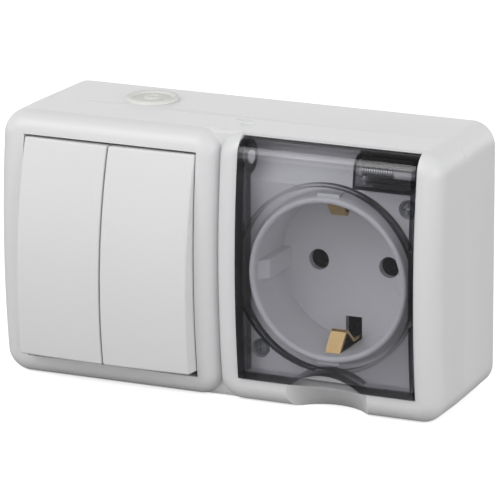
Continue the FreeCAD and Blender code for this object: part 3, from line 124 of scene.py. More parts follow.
def carve(bm, operation, *tools):
    """Unites with, or takes away, other solids, one after another."""
    target = as_object(bm, "carve_target")
    helpers = []
    for tool in tools:
        helper = as_object(tool, "carve_tool")
        helper.hide_render = True
        cutter = target.modifiers.new("carve", "BOOLEAN")
        cutter.operation = operation
        cutter.solver = "EXACT"
        cutter.object = helper
        helpers.append(helper)
    bpy.context.view_layer.update()
    carved = target.evaluated_get(bpy.context.evaluated_depsgraph_get())
    done = bpy.data.meshes.new_from_object(carved)
    result = bmesh.new()
    result.from_mesh(done)
    for thing in [target, *helpers]:
        old = thing.data
        bpy.data.objects.remove(thing)
        bpy.data.meshes.remove(old)
    bpy.data.meshes.remove(done)
    bmesh.ops.remove_doubles(result, verts=result.verts, dist=WELD)
    bmesh.ops.dissolve_degenerate(result, edges=result.edges, dist=WELD)
    return result


def add_node(tree, kind, inputs=None, **settings):
    """Adds a node, sets its properties and inputs, and links the inputs that are sockets."""
    node = tree.nodes.new(kind)
    for name, value in settings.items():
        setattr(node, name, value)
    for name, value in (inputs or {}).items():
        if isinstance(value, bpy.types.NodeSocket):
            tree.links.new(value, node.inputs[name])
        else:
            node.inputs[name].default_value = value
    return node


def srgb(code, alpha=1.0):
    """A hex colour as the linear colour that the shaders take."""
    parts = [int(code[index:index + 2], 16) / 255 for index in (0, 2, 4)]
    linear = [part / 12.92 if part <= 0.04045 else ((part + 0.055) / 1.055) ** 2.4 for part in parts]
    return (*linear, alpha)


def blank_material(name):
    """A material with an empty node tree, and that tree."""
    material = bpy.data.materials.new(name)
    material.use_nodes = True
    material.node_tree.nodes.clear()
    return material, material.node_tree


def moulded_plastic(name, colour, shade, roughness, grain_mm, bump):
    """Injection-moulded plastic: nearly even colour with a faint cloudiness from the flow of
    the melt, and the spark-eroded grain of the mould, which breaks up the highlights. The real
    grain is too fine to show, so it is drawn a few times coarser."""
    material, tree = blank_material(name)
    place = add_node(tree, "ShaderNodeTexCoord").outputs["Object"]
    cloud = add_node(tree, "ShaderNodeTexNoise", {
        "Vector": place, "Scale": 1000 / CLOUD_MM, "Detail": 2.0})
    tint = add_node(tree, "ShaderNodeMix", {
        "Factor": cloud.outputs["Fac"], "A": srgb(colour), "B": srgb(shade)}, data_type="RGBA")
    grain = add_node(tree, "ShaderNodeTexNoise", {
        "Vector": place, "Scale": 1000 / grain_mm, "Detail": 3.0})
    gloss = add_node(tree, "ShaderNodeMapRange", {
        "Value": grain.outputs["Fac"], "To Min": roughness - 0.05, "To Max": roughness + 0.07})
    dent = add_node(tree, "ShaderNodeBump", {
        "Height": grain.outputs["Fac"], "Strength": bump, "Distance": 0.05 / 1000})
    shader = add_node(tree, "ShaderNodeBsdfPrincipled", {
        "Base Color": tint.outputs["Result"], "Roughness": gloss.outputs["Result"],
        "Normal": dent.outputs["Normal"], "IOR": 1.53})
    add_node(tree, "ShaderNodeOutputMaterial", {"Surface": shader.outputs["BSDF"]})
    return material


def finish_piece(bm, name, body, slot, material, *stands_for, sharp=32.0):
    """Turns a mesh in millimetres into a piece in metres, with its large flats shaded flat."""
    bm.transform(Matrix.Scale(0.001, 4))
    piece = as_object(bm, name)
    piece.data.shade_smooth()
    piece.data.set_sharp_from_angle(angle=math.radians(sharp))
    flats = piece.modifiers.new("flats", "WEIGHTED_NORMAL")
    flats.keep_sharp = True
    shaded = piece.evaluated_get(bpy.context.evaluated_depsgraph_get())
    piece.data = bpy.data.meshes.new_from_object(shaded)
    piece.data.name = name
    piece.modifiers.clear()
    piece.data.materials.clear()
    piece.data.materials.append(material)
    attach(piece, body)
    if stands_for:
        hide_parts(*stands_for)
    return piece


def cad_solid(node):
    """A node's own mesh in millimetres, with its triangles joined up."""
    bm = bmesh.new()
    bm.from_mesh(nodes[node].data)
    bm.transform(Matrix.Scale(1000, 4))
    bmesh.ops.remove_doubles(bm, verts=bm.verts, dist=WELD)
    return bm


# White ABS from a fine-grained mould: an even, slightly cool white with broad, soft highlights.
white_abs = moulded_plastic("white_abs", "E9E9EA", "E5E5E6", 0.34, 0.35, 0.10)
finish_piece(cad_solid("back_box"), "back_box_shell", "housing", "shell_white", white_abs, "back_box")

# Cable membrane
# A soft stepped disc of white thermoplastic rubber, snapped into the top of the box. It is
# thin inside its rim, and the cable is pushed through the middle.
MEMBRANE_X = -29.4
MEMBRANE_DEPTH = 12.3
MEMBRANE_PROFILE = [
    (0.0, 33.7), (4.35, 33.7), (4.35, 31.45), (6.15, 31.45), (6.15, 32.35), (5.5, 32.35),
    (5.5, 34.5), (6.9, 34.5), (6.9, 34.95), (6.75, 35.2), (6.4, 35.37), (5.9, 35.4),
    (5.45, 35.32), (5.2, 35.1), (5.1, 34.8), (4.7, 34.75), (2.6, 34.78), (2.35, 34.85),
    (2.15, 35.15), (1.9, 35.35), (1.5, 35.38), (1.15, 35.2), (0.95, 34.95), (0.0, 34.95)]

# Thermoplastic rubber: warmer and duller than the ABS round it, with hardly a highlight.
soft_rubber = moulded_plastic("soft_rubber", "E2E2DF", "DCDCD8", 0.52, 0.6, 0.15)
bm = bmesh.new()
rim = [bm.verts.new((MEMBRANE_X + reach, -MEMBRANE_DEPTH, up)) for reach, up in MEMBRANE_PROFILE]
seam = [bm.edges.new(pair) for pair in zip(rim, rim[1:])]
bmesh.ops.spin(bm, geom=rim + seam, cent=(MEMBRANE_X, -MEMBRANE_DEPTH, 0), axis=(0, 0, 1),
               angle=math.tau, steps=96, use_merge=True)
bmesh.ops.remove_doubles(bm, verts=bm.verts, dist=WELD)
bmesh.ops.recalc_face_normals(bm, faces=bm.faces)
finish_piece(bm, "cable_membrane", "housing", "membrane", soft_rubber, "gland_membrane", sharp=40)

# Front cover
# One ABS moulding with two crowned frames side by side, each rolled over at its edges, so
# that a groove runs between them. The left one is open for the rockers, the right one for
# the lid, with a finger scoop under it and the hinge studs of the lid at its top.
FRONT = 40.3
FRAME_REAR = 31.5
CROWN = 225.0
CROWN_FROM = 33.0
EDGE_ROUND = 4.6
GROOVE_FLOOR = 33.3
BAR_REAR = 33.5
WEB_HALF = 3.0
WEB_FRONT = 34.0
WEB_UP = 33.5
PAST_FRONT = 45.0
SWITCH_X = -29.0
SOCKET_X = 30.0
OPENING_HALF = 23.9
SWITCH_LEFT = SWITCH_X - OPENING_HALF
SWITCH_RIGHT = SWITCH_X + OPENING_HALF
SWITCH_UP = 29.1
SWITCH_SEAT = 30.0
SOCKET_LEFT = SOCKET_X - OPENING_HALF
SOCKET_RIGHT = SOCKET_X + OPENING_HALF
SOCKET_DOWN = -27.9
SOCKET_SEAT = 32.5
HINGE_DEPTH = 34.0
HINGE_UP = 28.4
STUD = 1.7
LEFT_STUD = (4.1, 8.2)
RIGHT_STUD = (46.7, 55.9)
ARBOR = 1.0
ARBOR_ENDS = (37.1, 47.7)
LID_FRONT = 40.9
GAP = 0.3
SCOOP_HALF = 10.8
SCOOP_LEFT = SOCKET_X - SCOOP_HALF
SCOOP_RIGHT = SOCKET_X + SCOOP_HALF
SCOOP_REAR = 28.0
SCOOP_FOOT = -34.56
SCOOP_TOP = -27.85
SCOOP_STEP = 0.6
SCOOP_ARC = 11.9
SCOOP_ARC_DEPTH = 41.7
SCOOP_EDGE = 38.7
SCOOP_SAG = 0.6
SCOOP_SHELL_REAR = 27.8
MARK_X = 3.6
MARK_DEPTH = 27.17
MARK_RADIUS = 2.93
MARK_SQUEEZE = 0.905
MARK_SINK = 0.25
PRY_SLOT_LEFT = -1.0
PRY_SLOT_RIGHT = 3.4
PRY_SLOT_REAR = 23.1
PRY_SLOT_WIDE = 0.7


def crown_drop(up):
    """How far the crowned front falls back at a height above or below its middle."""
    return up ** 2 / (2 * CROWN)


ROLL = LID_FRONT - crown_drop(HINGE_UP) - HINGE_DEPTH


def crowned_frame(left, right):
    """One of the two frames, still solid, with its front bent to the crown."""
    bm = block(left, right, FRAME_REAR, FRONT, -HEIGHT / 2, HEIGHT / 2)
    round_edges(bm, runs_along_y, CORNER, 14)
    round_edges(bm, in_front_of(FRONT - 0.01), EDGE_ROUND, 12)
    slice_across(bm, (0, 0, 1), -34, 34, 2)
    for v in bm.verts:
        if v.co.y < -CROWN_FROM:
            v.co.y += crown_drop(v.co.z)
    return bm


def hinge_rod(left, right, radius, sides=96):
    """A round bar on the hinge line of the lid."""
    return rod((left, -HINGE_DEPTH, HINGE_UP), (right, -HINGE_DEPTH, HINGE_UP), radius, sides)


skirt = block(-WIDTH / 2, WIDTH / 2, BOX_DEPTH, GROOVE_FLOOR, -HEIGHT / 2, HEIGHT / 2)
round_edges(skirt, runs_along_y, CORNER, 14)
cavity = block(-WIDTH / 2 + SKIN, WIDTH / 2 - SKIN, BOX_DEPTH - 1, BAR_REAR,
               -HEIGHT / 2 + SKIN, HEIGHT / 2 - SKIN)
round_edges(cavity, runs_along_y, CORNER - SKIN, 12)
cover = carve(crowned_frame(-WIDTH / 2, 0), "UNION", crowned_frame(0, WIDTH / 2), skirt)
cover = carve(cover, "DIFFERENCE", cavity)
groove_web = block(-WEB_HALF, WEB_HALF, GROOVE_FLOOR - SKIN, WEB_FRONT, -WEB_UP, WEB_UP)
scoop_shell = block(SCOOP_LEFT - SKIN, SCOOP_RIGHT + SKIN, SCOOP_SHELL_REAR, BAR_REAR, -WEB_UP, SOCKET_DOWN)
cover = carve(cover, "UNION", groove_web, scoop_shell)

# The scoop is an arc at the foot of the cover that flattens out towards the lid.
scoop = block(SCOOP_LEFT, SCOOP_RIGHT, SCOOP_REAR, PAST_FRONT, SCOOP_FOOT, SCOOP_TOP)
slice_across(scoop, (1, 0, 0), SCOOP_LEFT + SCOOP_STEP, SCOOP_RIGHT - SCOOP_STEP, SCOOP_STEP)
for v in scoop.verts:
    if v.co.y > -SCOOP_REAR - 1:
        off = v.co.x - SOCKET_X
        if v.co.z < (SCOOP_FOOT + SCOOP_TOP) / 2:
            v.co.y = -(SCOOP_ARC_DEPTH - math.sqrt(SCOOP_ARC ** 2 - off ** 2))
        else:
            v.co.y = -(SCOOP_EDGE - SCOOP_SAG * (1 - (off / SCOOP_HALF) ** 2))

# A shallow triangle in the top, with its point to the front, lies just before the pry slot.
mark = bmesh.new()
bmesh.ops.create_cone(mark, cap_ends=True, segments=3, radius1=MARK_RADIUS, radius2=MARK_RADIUS, depth=1)
bmesh.ops.rotate(mark, verts=mark.verts, matrix=Matrix.Rotation(math.pi, 3, "Z"))
bmesh.ops.scale(mark, verts=mark.verts, vec=(MARK_SQUEEZE, 1, 1))
bmesh.ops.translate(mark, verts=mark.verts, vec=(MARK_X, -MARK_DEPTH, HEIGHT / 2 + 0.5 - MARK_SINK))
pry_slot = block(PRY_SLOT_LEFT, PRY_SLOT_RIGHT, PRY_SLOT_REAR, PRY_SLOT_REAR + PRY_SLOT_WIDE,
                 HEIGHT / 2 - 1, HEIGHT / 2 + 1)
cover = carve(
    cover, "DIFFERENCE", mark,
    block(SWITCH_LEFT, SWITCH_RIGHT, SWITCH_SEAT, PAST_FRONT, -SWITCH_UP, SWITCH_UP),
    block(SOCKET_LEFT, SOCKET_RIGHT, SOCKET_SEAT, PAST_FRONT, SOCKET_DOWN, HINGE_UP),
    block(SOCKET_LEFT, SOCKET_RIGHT, HINGE_DEPTH + GAP, PAST_FRONT, HINGE_UP - 1, HEIGHT / 2 + 2),
    hinge_rod(SOCKET_LEFT, SOCKET_RIGHT, ROLL + GAP), pry_slot, scoop)
cover = carve(cover, "UNION", hinge_rod(*LEFT_STUD, STUD, 64), hinge_rod(*RIGHT_STUD, STUD, 64))
cover = carve(cover, "UNION", hinge_rod(*ARBOR_ENDS, ARBOR, 64))
finish_piece(cover, "cover_shell", "housing", "shell_white", white_abs, "front_cover")

# Rockers
# Two rocker caps of the same white ABS. Their faces are parts of one barrel shape, and both
# lean with the lower end out. Behind the face they are hollow, with cheeks on the pivots and
# a round boss for the sprung plunger.
ROCKER_ENDS = {"left": (-52.6, -29.2), "right": (-28.8, -5.4)}
ROCKER_FACE = 45.2
ROCKER_CROWN = 120.0
ROCKER_BARREL = 275.0
ROCKER_HALF = 27.8
ROCKER_FOOT = 0.4
ROCKER_SKIRT = 35.0
ROCKER_WALL = 1.2
ROCKER_FACE_WALL = 1.8
ROCKER_SOFT_FACE = 0.55
BOSS_REAR = 27.0
BOSS_FRONT = ROCKER_FACE - 0.9
PLUNGER_BOSS = 3.2
PLUNGER_BORE = 1.95
PLUNGER_BORE_END = 40.0
CHEEK_REAR = 28.1
CHEEK_FRONT = 36.0
CHEEK_HALF = 4.5
PIVOT_DEPTH = 31.0
PIVOT_BORE = 1.55
TILT = 4.7


def barrel_depth(x, z, inset=0.0):
    """The depth of the barrel shape at a place, or of its inner side at an inset."""
    sag = ROCKER_BARREL - math.sqrt(ROCKER_BARREL ** 2 - (x - SWITCH_X) ** 2)
    turn = ROCKER_CROWN - inset - sag
    return ROCKER_FACE - ROCKER_CROWN + math.sqrt(turn ** 2 - z ** 2)


def barrel_block(left, right, rear, half, inset, soft):
    """A block with its face bent to the barrel. The planes keep clear of its soft edges."""
    bm = block(left, right, rear, ROCKER_FACE, -half - ROCKER_FOOT, half)
    if soft:
        round_edges(bm, runs_along_y, 0.5, 4)
        round_edges(bm, in_front_of(ROCKER_FACE - 0.01), soft, 4)
    slice_across(bm, (0, 0, 1), -half + 1.2, half - 1.5, 1.8)
    slice_across(bm, (1, 0, 0), left + 1.5, right - 1.5, 2.0)
    for v in bm.verts:
        if v.co.y < -ROCKER_FACE + 1.5:
            v.co.y += ROCKER_FACE - barrel_depth(v.co.x, v.co.z, inset)
    return bm


def tilted(bm):
    """Turns a rocker about its pivots to its place at rest."""
    lean = Matrix.Rotation(math.radians(-TILT), 3, "X")
    bmesh.ops.rotate(bm, verts=bm.verts, cent=Vector((0, -PIVOT_DEPTH, 0)), matrix=lean)
    return bm


for side, (left, right) in ROCKER_ENDS.items():
    middle = (left + right) / 2
    cap = barrel_block(left, right, ROCKER_SKIRT, ROCKER_HALF, 0.0, ROCKER_SOFT_FACE)
    room = barrel_block(left + ROCKER_WALL, right - ROCKER_WALL, ROCKER_SKIRT - 1,
                        ROCKER_HALF - ROCKER_WALL, ROCKER_FACE_WALL, 0)
    cap = carve(cap, "DIFFERENCE", room)
    boss = forward_rod(middle, 0, BOSS_REAR, BOSS_FRONT, PLUNGER_BOSS)
    cheeks = [block(outer, outer + ROCKER_WALL, CHEEK_REAR, CHEEK_FRONT, -CHEEK_HALF, CHEEK_HALF)
              for outer in (left, right - ROCKER_WALL)]
    cap = carve(cap, "UNION", boss, *cheeks)
    plunger_bore = forward_rod(middle, 0, BOSS_REAR - 1, PLUNGER_BORE_END, PLUNGER_BORE)
    pivot_bore = rod((left - 1, -PIVOT_DEPTH, 0), (right + 1, -PIVOT_DEPTH, 0), PIVOT_BORE)
    cap = carve(cap, "DIFFERENCE", plunger_bore, pivot_bore)
    finish_piece(tilted(cap), f"rocker_cap_{side}", f"{side}_rocker", "shell_white", white_abs,
                 f"rocker_{side}")

# Socket insert
# The socket's plate, collar and well in one white moulding. The collar spreads towards the
# plate and has a rounded lip. The well has two side ribs that key the plug, two pin holes,
# and slots at top and bottom for the earth clips, housed in flat blocks outside the collar.
PLATE = 33.2
PLATE_LEFT = 5.0
PLATE_RIGHT = 55.0
KNEE = 22.28
ROOF = 31.15
RIM = 38.2
WELL_FLOOR = 20.9
WELL = 19.5
FOOT = 0.5
COLLAR = 21.2
COLLAR_HOLE = COLLAR + 0.4
FLARE = 1.6
LIP = (COLLAR - WELL) / 2
LID_LOW = -27.6
PIN_REACH = 9.5
PIN_BORE = 2.7
BEHIND_FLOOR = 15
PAST_FLOOR = 22
HOUSING_HALF = 3.0
HOUSING_TALL = 4.0
HOUSING_ENDS = (19.9, 22.0)
SLOT_HALF = 2.2
FLOOR_SLOT = (13.8, 19.6)
WALL_SLOT = (18.9, 21.4)
SLOT_FRONT = PLATE + 1.6
RIB_HALF = 2.5
RIB_REACH = 2.5
RIB_FRONT = RIM - 1.6
RIB_SLOPE = 2.6
RIB_ROOT = 30
SCREW_PLACES = ((9.9, -21.0), (49.6, 19.0))
SCREW_BOSS = 3.7
SCREW_BOSS_REAR = 29.5
SCREW_RECESS = 2.5
SCREW_SEAT = PLATE - 1.7
SCREW_BORE = 1.4
SCREW_BORE_REAR = 28.0


def spun(profile, steps=128):
    """Turns a closed line of (radius, depth) points about the axis of the well."""
    bm = bmesh.new()
    line = [bm.verts.new((SOCKET_X + reach, -depth, 0)) for reach, depth in profile]
    edges = [bm.edges.new(pair) for pair in zip(line, line[1:])]
    bmesh.ops.spin(bm, geom=line + edges, cent=(SOCKET_X, 0, 0), axis=(0, 1, 0), angle=math.tau,
                   steps=steps, use_merge=True)
    bmesh.ops.remove_doubles(bm, verts=bm.verts, dist=WELD)
    bmesh.ops.recalc_face_normals(bm, faces=bm.faces)
    return bm


def outward(side, inner, outer):
    """The ends, lower one first, of a stretch on one side of the middle (side is -1 or 1)."""
    return sorted((side * inner, side * outer))


# Above the knee the plate runs back at 45 degrees, clear of the swing of the lid.
plate = block(PLATE_LEFT, PLATE_RIGHT, PLATE - SKIN, PLATE, LID_LOW, ROOF)
slice_across(plate, (0, 0, 1), KNEE, KNEE, 1)
for v in plate.verts:
    v.co.y += max(0, v.co.z - KNEE)

# The collar's outline, from the middle of the floor up the well, over the lip and down again.
lip_turns = [math.radians(15 * step) for step in range(13)]
collar = [(0, WELL_FLOOR), (WELL - FOOT, WELL_FLOOR), (WELL - 0.3 * FOOT, WELL_FLOOR + 0.3 * FOOT),
          (WELL, WELL_FLOOR + FOOT)]
collar += [(WELL + LIP * (1 - math.cos(turn)), RIM - LIP * (1 - math.sin(turn))) for turn in lip_turns]
collar += [(COLLAR + 0.95, PLATE + 0.7), (COLLAR + 1.2, PLATE + 0.25), (COLLAR + FLARE, PLATE),
           (COLLAR + FLARE, PLATE - 1), (COLLAR, PLATE - SKIN), (COLLAR, WELL_FLOOR - SKIN),
           (0, WELL_FLOOR - SKIN)]
insert = carve(plate, "DIFFERENCE", forward_rod(SOCKET_X, 0, 20, 40, COLLAR_HOLE, 128))
bosses = [forward_rod(along, up, SCREW_BOSS_REAR, PLATE - 0.3, SCREW_BOSS) for along, up in SCREW_PLACES]
housings = []
for side in (-1, 1):
    housing = block(SOCKET_X - HOUSING_HALF, SOCKET_X + HOUSING_HALF, PLATE - 0.5, PLATE + HOUSING_TALL,
                    *outward(side, *HOUSING_ENDS))
    housings.append(round_edges(housing, in_front_of(PLATE + HOUSING_TALL - 0.1), 0.25, 3))
insert = carve(insert, "UNION", spun(collar), *bosses, *housings)

# The front of each rib slopes back towards the middle of the well, so that a plug finds its way.
ribs = []
for side in (-1, 1):
    near, far = outward(side, WELL - RIB_REACH, WELL + 0.5)
    rib = block(SOCKET_X + near, SOCKET_X + far, WELL_FLOOR - 0.5, RIB_FRONT, -RIB_HALF, RIB_HALF)
    for v in rib.verts:
        if v.co.y < -RIB_ROOT and abs(v.co.x - SOCKET_X) < WELL - 2:
            v.co.y += RIB_SLOPE
    at_front = in_front_of(RIB_ROOT)
    ribs.append(round_edges(rib, lambda edge: runs_along_y(edge) or at_front(edge), 0.3, 3))
insert = carve(insert, "UNION", *ribs)
cutters = [forward_rod(SOCKET_X + side * PIN_REACH, 0, BEHIND_FLOOR, PAST_FLOOR, PIN_BORE)
           for side in (-1, 1)]
for side in (-1, 1):
    slot_left = SOCKET_X - SLOT_HALF
    slot_right = SOCKET_X + SLOT_HALF
    cutters.append(block(slot_left, slot_right, BEHIND_FLOOR, PAST_FLOOR, *outward(side, *FLOOR_SLOT)))
    cutters.append(block(slot_left, slot_right, BEHIND_FLOOR, SLOT_FRONT, *outward(side, *WALL_SLOT)))
for along, up in SCREW_PLACES:
    cutters.append(forward_rod(along, up, SCREW_SEAT, PLATE + 1, SCREW_RECESS, 48))
    cutters.append(forward_rod(along, up, SCREW_BORE_REAR, PLATE, SCREW_BORE, 32))
insert = carve(insert, "DIFFERENCE", *cutters)
finish_piece(insert, "socket_insert", "housing", "shell_white", white_abs, "socket_panel")

# Lid
# A spring-closed lid of clear smoked polycarbonate, rolled over at the top about its hinge
# line. Its edges look nearly black because the light there runs a long way through the tint;
# here a painted shade on the edge faces adds to that.
LID_LEFT = 6.4
LID_RIGHT = 53.6
LID_WALL = 1.4
LID_REAR = 34.2
INNER_LEFT = LID_LEFT + LID_WALL
INNER_RIGHT = LID_RIGHT - LID_WALL
ROLL_BEHIND = 80
ROLL_BEFORE = 181
EAR = 4.3
LID_BORE = 1.75
ARCH = 14.5
ARCH_WALL = 1.0
ARCH_TALL = 3.4
ARCH_UP = LID_LOW + ARCH_TALL - ARCH
ARCH_FRONT = LID_FRONT - 2.3
RING_UP = 0.4
RING_INNER = 23.35
RING_OUTER = 24.25
RING_REAR = LID_FRONT - 4.4
RING_FRONT = LID_FRONT - 1.3
CHAMBER_LEFT = 36.9
CHAMBER_RIGHT = LID_RIGHT - 0.7
CHAMBER_WALL = 0.7
CHAMBER_LOW = 24.1
CHAMBER_REAR = 32.8
CHAMBER_FRONT = LID_FRONT - 2.4
CHAMBER_BACK = 4.6
BEHIND_LID = 30
FAR = 60
WHITE = srgb("FFFFFF")
TINT_DENSITY = 160.0


def smoked(name, clarity):
    """Clear plastic with a grey tint through its depth; clarity is what one face lets by."""
    material, tree = blank_material(name)
    film = add_node(tree, "ShaderNodeBsdfTransparent", {"Color": (clarity, clarity, clarity * 1.015, 1)})
    shine = add_node(tree, "ShaderNodeBsdfGlossy", {"Color": WHITE, "Roughness": 0.05})
    slant = add_node(tree, "ShaderNodeLayerWeight", {"Blend": 0.5})
    grazing = add_node(tree, "ShaderNodeMath", {0: slant.outputs["Facing"], 1: 5.0}, operation="POWER")
    mirrored = add_node(tree, "ShaderNodeMapRange", {"Value": grazing.outputs["Value"], "To Min": 0.04})
    pane = add_node(tree, "ShaderNodeMixShader", {
        0: mirrored.outputs["Result"], 1: film.outputs["BSDF"], 2: shine.outputs["BSDF"]})
    tint = add_node(tree, "ShaderNodeVolumeAbsorption", {
        "Color": srgb("73727E"), "Density": TINT_DENSITY})
    add_node(tree, "ShaderNodeOutputMaterial", {
        "Surface": pane.outputs["Shader"], "Volume": tint.outputs["Volume"]})
    return material


def crowned_panel(left, right, low, rear, front):
    """A block whose front is curved like the crown of the cover, up to the hinge line."""
    bm = block(left, right, rear, front, low, HINGE_UP)
    slice_across(bm, (0, 0, 1), low + 1.5, HINGE_UP - 1, 1.6)
    for v in bm.verts:
        if v.co.y < -front + 0.001:
            v.co.y += crown_drop(v.co.z)
    return bm


def rolled(left, right, radius, start, stop, steps=40):
    """A sector of a round bar about the hinge line, between two angles from +Y towards +Z."""
    turns = [math.radians(start + (stop - start) * step / steps) for step in range(steps + 1)]
    bm = bmesh.new()
    rim = [bm.verts.new((left, -HINGE_DEPTH, HINGE_UP))]
    rim += [bm.verts.new((left, -HINGE_DEPTH + radius * math.cos(turn), HINGE_UP + radius * math.sin(turn)))
            for turn in turns]
    face = bm.faces.new(rim)
    pulled = bmesh.ops.extrude_face_region(bm, geom=[face])
    bmesh.ops.translate(bm, verts=[item for item in pulled["geom"] if isinstance(item, bmesh.types.BMVert)],
                        vec=(right - left, 0, 0))
    bmesh.ops.recalc_face_normals(bm, faces=bm.faces)
    return bm


def arch_bore():
    """The round opening for a finger, through the foot of the lid."""
    return forward_rod(SOCKET_X, ARCH_UP, BEHIND_LID, PAST_FRONT, ARCH, 128)


shell = carve(crowned_panel(LID_LEFT, LID_RIGHT, LID_LOW, LID_REAR, LID_FRONT), "UNION",
              rolled(LID_LEFT, LID_RIGHT, ROLL, ROLL_BEHIND, ROLL_BEFORE),
              hinge_rod(LID_LEFT, LID_RIGHT, EAR))
void = carve(crowned_panel(INNER_LEFT, INNER_RIGHT, LID_LOW + LID_WALL, 22, LID_FRONT - LID_WALL), "UNION",
             hinge_rod(INNER_LEFT, INNER_RIGHT, ROLL - LID_WALL),
             rolled(INNER_LEFT, INNER_RIGHT, ROLL + 2, -90, ROLL_BEHIND - 0.1))
shell = carve(shell, "DIFFERENCE", void, arch_bore())
arch_wall = carve(forward_rod(SOCKET_X, ARCH_UP, LID_REAR, ARCH_FRONT, ARCH + ARCH_WALL, 128),
                  "DIFFERENCE", arch_bore(), block(0, FAR, BEHIND_LID, PAST_FRONT, -FAR, LID_LOW))
ring = carve(forward_rod(SOCKET_X, RING_UP, RING_REAR, RING_FRONT, RING_OUTER, 160), "DIFFERENCE",
             forward_rod(SOCKET_X, RING_UP, BEHIND_LID, PAST_FRONT, RING_INNER, 160),
             block(0, LID_LEFT + LID_WALL / 2, BEHIND_LID, PAST_FRONT, -FAR, FAR),
             block(LID_RIGHT - LID_WALL / 2, FAR, BEHIND_LID, PAST_FRONT, -FAR, FAR))

# The chamber at the upper right holds the coil: a wall on its left, a shelf and a round back.
wall_right = CHAMBER_LEFT + CHAMBER_WALL
chamber_wall = carve(
    crowned_panel(CHAMBER_LEFT, wall_right, CHAMBER_LOW, CHAMBER_REAR, LID_FRONT - CHAMBER_WALL),
    "UNION", rolled(CHAMBER_LEFT, wall_right, ROLL - CHAMBER_WALL, 70, ROLL_BEFORE))
chamber_back = carve(rolled(CHAMBER_LEFT + 0.3, CHAMBER_RIGHT, CHAMBER_BACK, -80, 85),
                     "DIFFERENCE", hinge_rod(30, FAR, CHAMBER_BACK - CHAMBER_WALL))
chamber_shelf = block(CHAMBER_LEFT, CHAMBER_RIGHT, CHAMBER_REAR, CHAMBER_FRONT,
                      CHAMBER_LOW, CHAMBER_LOW + 1)

# A small nub stands out of the lid's right end.
nub = block(LID_RIGHT - 0.2, LID_RIGHT + 0.15, 35.2, 37.8, -8.4, -4.6)
shell = carve(shell, "UNION", arch_wall, ring, chamber_wall, chamber_back, chamber_shelf, nub)
shell = carve(shell, "DIFFERENCE", hinge_rod(LID_LEFT - 1, LID_RIGHT + 1, LID_BORE, 48))

# Smoked polycarbonate from a polished mould: clear grey with a violet cast and sharp glints.
# The ends, the foot, the ring, the arch and the chamber are seen edge on, so they are darker:
# partly from the tint's own absorption, partly from painted shade, a darker film on their faces.
smoked_polycarbonate = smoked("smoked_polycarbonate", 0.985)
smoked_painted_dark_edge = smoked("smoked_painted_dark_edge", 0.68)
lid_shell = finish_piece(shell, "lid_shell", "lid_assembly", "smoked_plastic", smoked_polycarbonate, "lid")
lid_shell.data.materials.append(smoked_painted_dark_edge)
# Faces seen edge on take the second finish, whose darker film is painted shade on top of the tint.
for face in lid_shell.data.polygons:
    spot = face.center * 1000
    is_wall = abs(face.normal.y) < 0.9
    from_ring = math.hypot(spot.x - SOCKET_X, spot.z - RING_UP)
    from_arch = math.hypot(spot.x - SOCKET_X, spot.z - ARCH_UP)
    in_ring = is_wall and RING_INNER - 0.05 < from_ring < RING_OUTER + 0.05
    in_arch = is_wall and from_arch < ARCH + ARCH_WALL + 0.1
    in_chamber = spot.x > CHAMBER_LEFT - 0.1 and spot.z > CHAMBER_LOW - 0.3 and spot.y > -LID_FRONT + 3.4
    at_side = abs(face.normal.x) > 0.7
    at_foot = face.normal.z < -0.7 and spot.z < 0
    if at_side or in_ring or in_arch or in_chamber or at_foot:
        face.material_index = 1

# Lid spring
# A coil of thin steel wire, wound cold, that sits on the arbor in the lid's chamber. Its first
# end stands forward, and it pushes the lid shut.
COIL_LEFT = 38.0
COIL_LENGTH = 8.2
COIL_RADIUS = 1.55
COIL_TURNS = 13
COIL_STEPS = 24
COIL_TAIL = 3.0
WIRE = 0.21
# Behind this depth the metals are drawn dark: partly tarnish, partly painted shade in the holes and slots.
TARNISH_AND_SHADE_DEPTH = 21.5
TARNISH_AND_SHADE_FADE = 2.0


def plain_metal(name, colour, shade, tarnish_and_shade_colour, roughness, grain_mm):
    """Stamped, turned or drawn metal: fine scratches along it vary its gloss, and it is dull
    and dark behind the floor of the well, partly as tarnish where nothing wipes it and partly
    as painted shade in the holes and slots."""
    material, tree = blank_material(name)
    place = add_node(tree, "ShaderNodeTexCoord").outputs["Object"]
    stretch = add_node(tree, "ShaderNodeMapping", {"Vector": place, "Scale": (1.0, 0.15, 1.0)})
    scratch = add_node(tree, "ShaderNodeTexNoise", {
        "Vector": stretch.outputs["Vector"], "Scale": 1000 / grain_mm, "Detail": 4.0})
    tint = add_node(tree, "ShaderNodeMix", {
        "Factor": scratch.outputs["Fac"], "A": srgb(colour), "B": srgb(shade)}, data_type="RGBA")
    gloss = add_node(tree, "ShaderNodeMapRange", {
        "Value": scratch.outputs["Fac"], "To Min": roughness - 0.06, "To Max": roughness + 0.08})
    depth = add_node(tree, "ShaderNodeSeparateXYZ", {"Vector": place})
    tarnish_and_shade_mask = add_node(tree, "ShaderNodeMapRange", {
        "Value": depth.outputs["Y"], "From Min": -(TARNISH_AND_SHADE_DEPTH + TARNISH_AND_SHADE_FADE) / 1000,
        "From Max": -TARNISH_AND_SHADE_DEPTH / 1000})
    base = add_node(tree, "ShaderNodeMix", {
        "Factor": tarnish_and_shade_mask.outputs["Result"], "A": tint.outputs["Result"], "B": srgb(tarnish_and_shade_colour)},
        data_type="RGBA")
    shader = add_node(tree, "ShaderNodeBsdfPrincipled", {
        "Base Color": base.outputs["Result"], "Roughness": gloss.outputs["Result"], "Metallic": 1.0})
    add_node(tree, "ShaderNodeOutputMaterial", {"Surface": shader.outputs["BSDF"]})
    return material


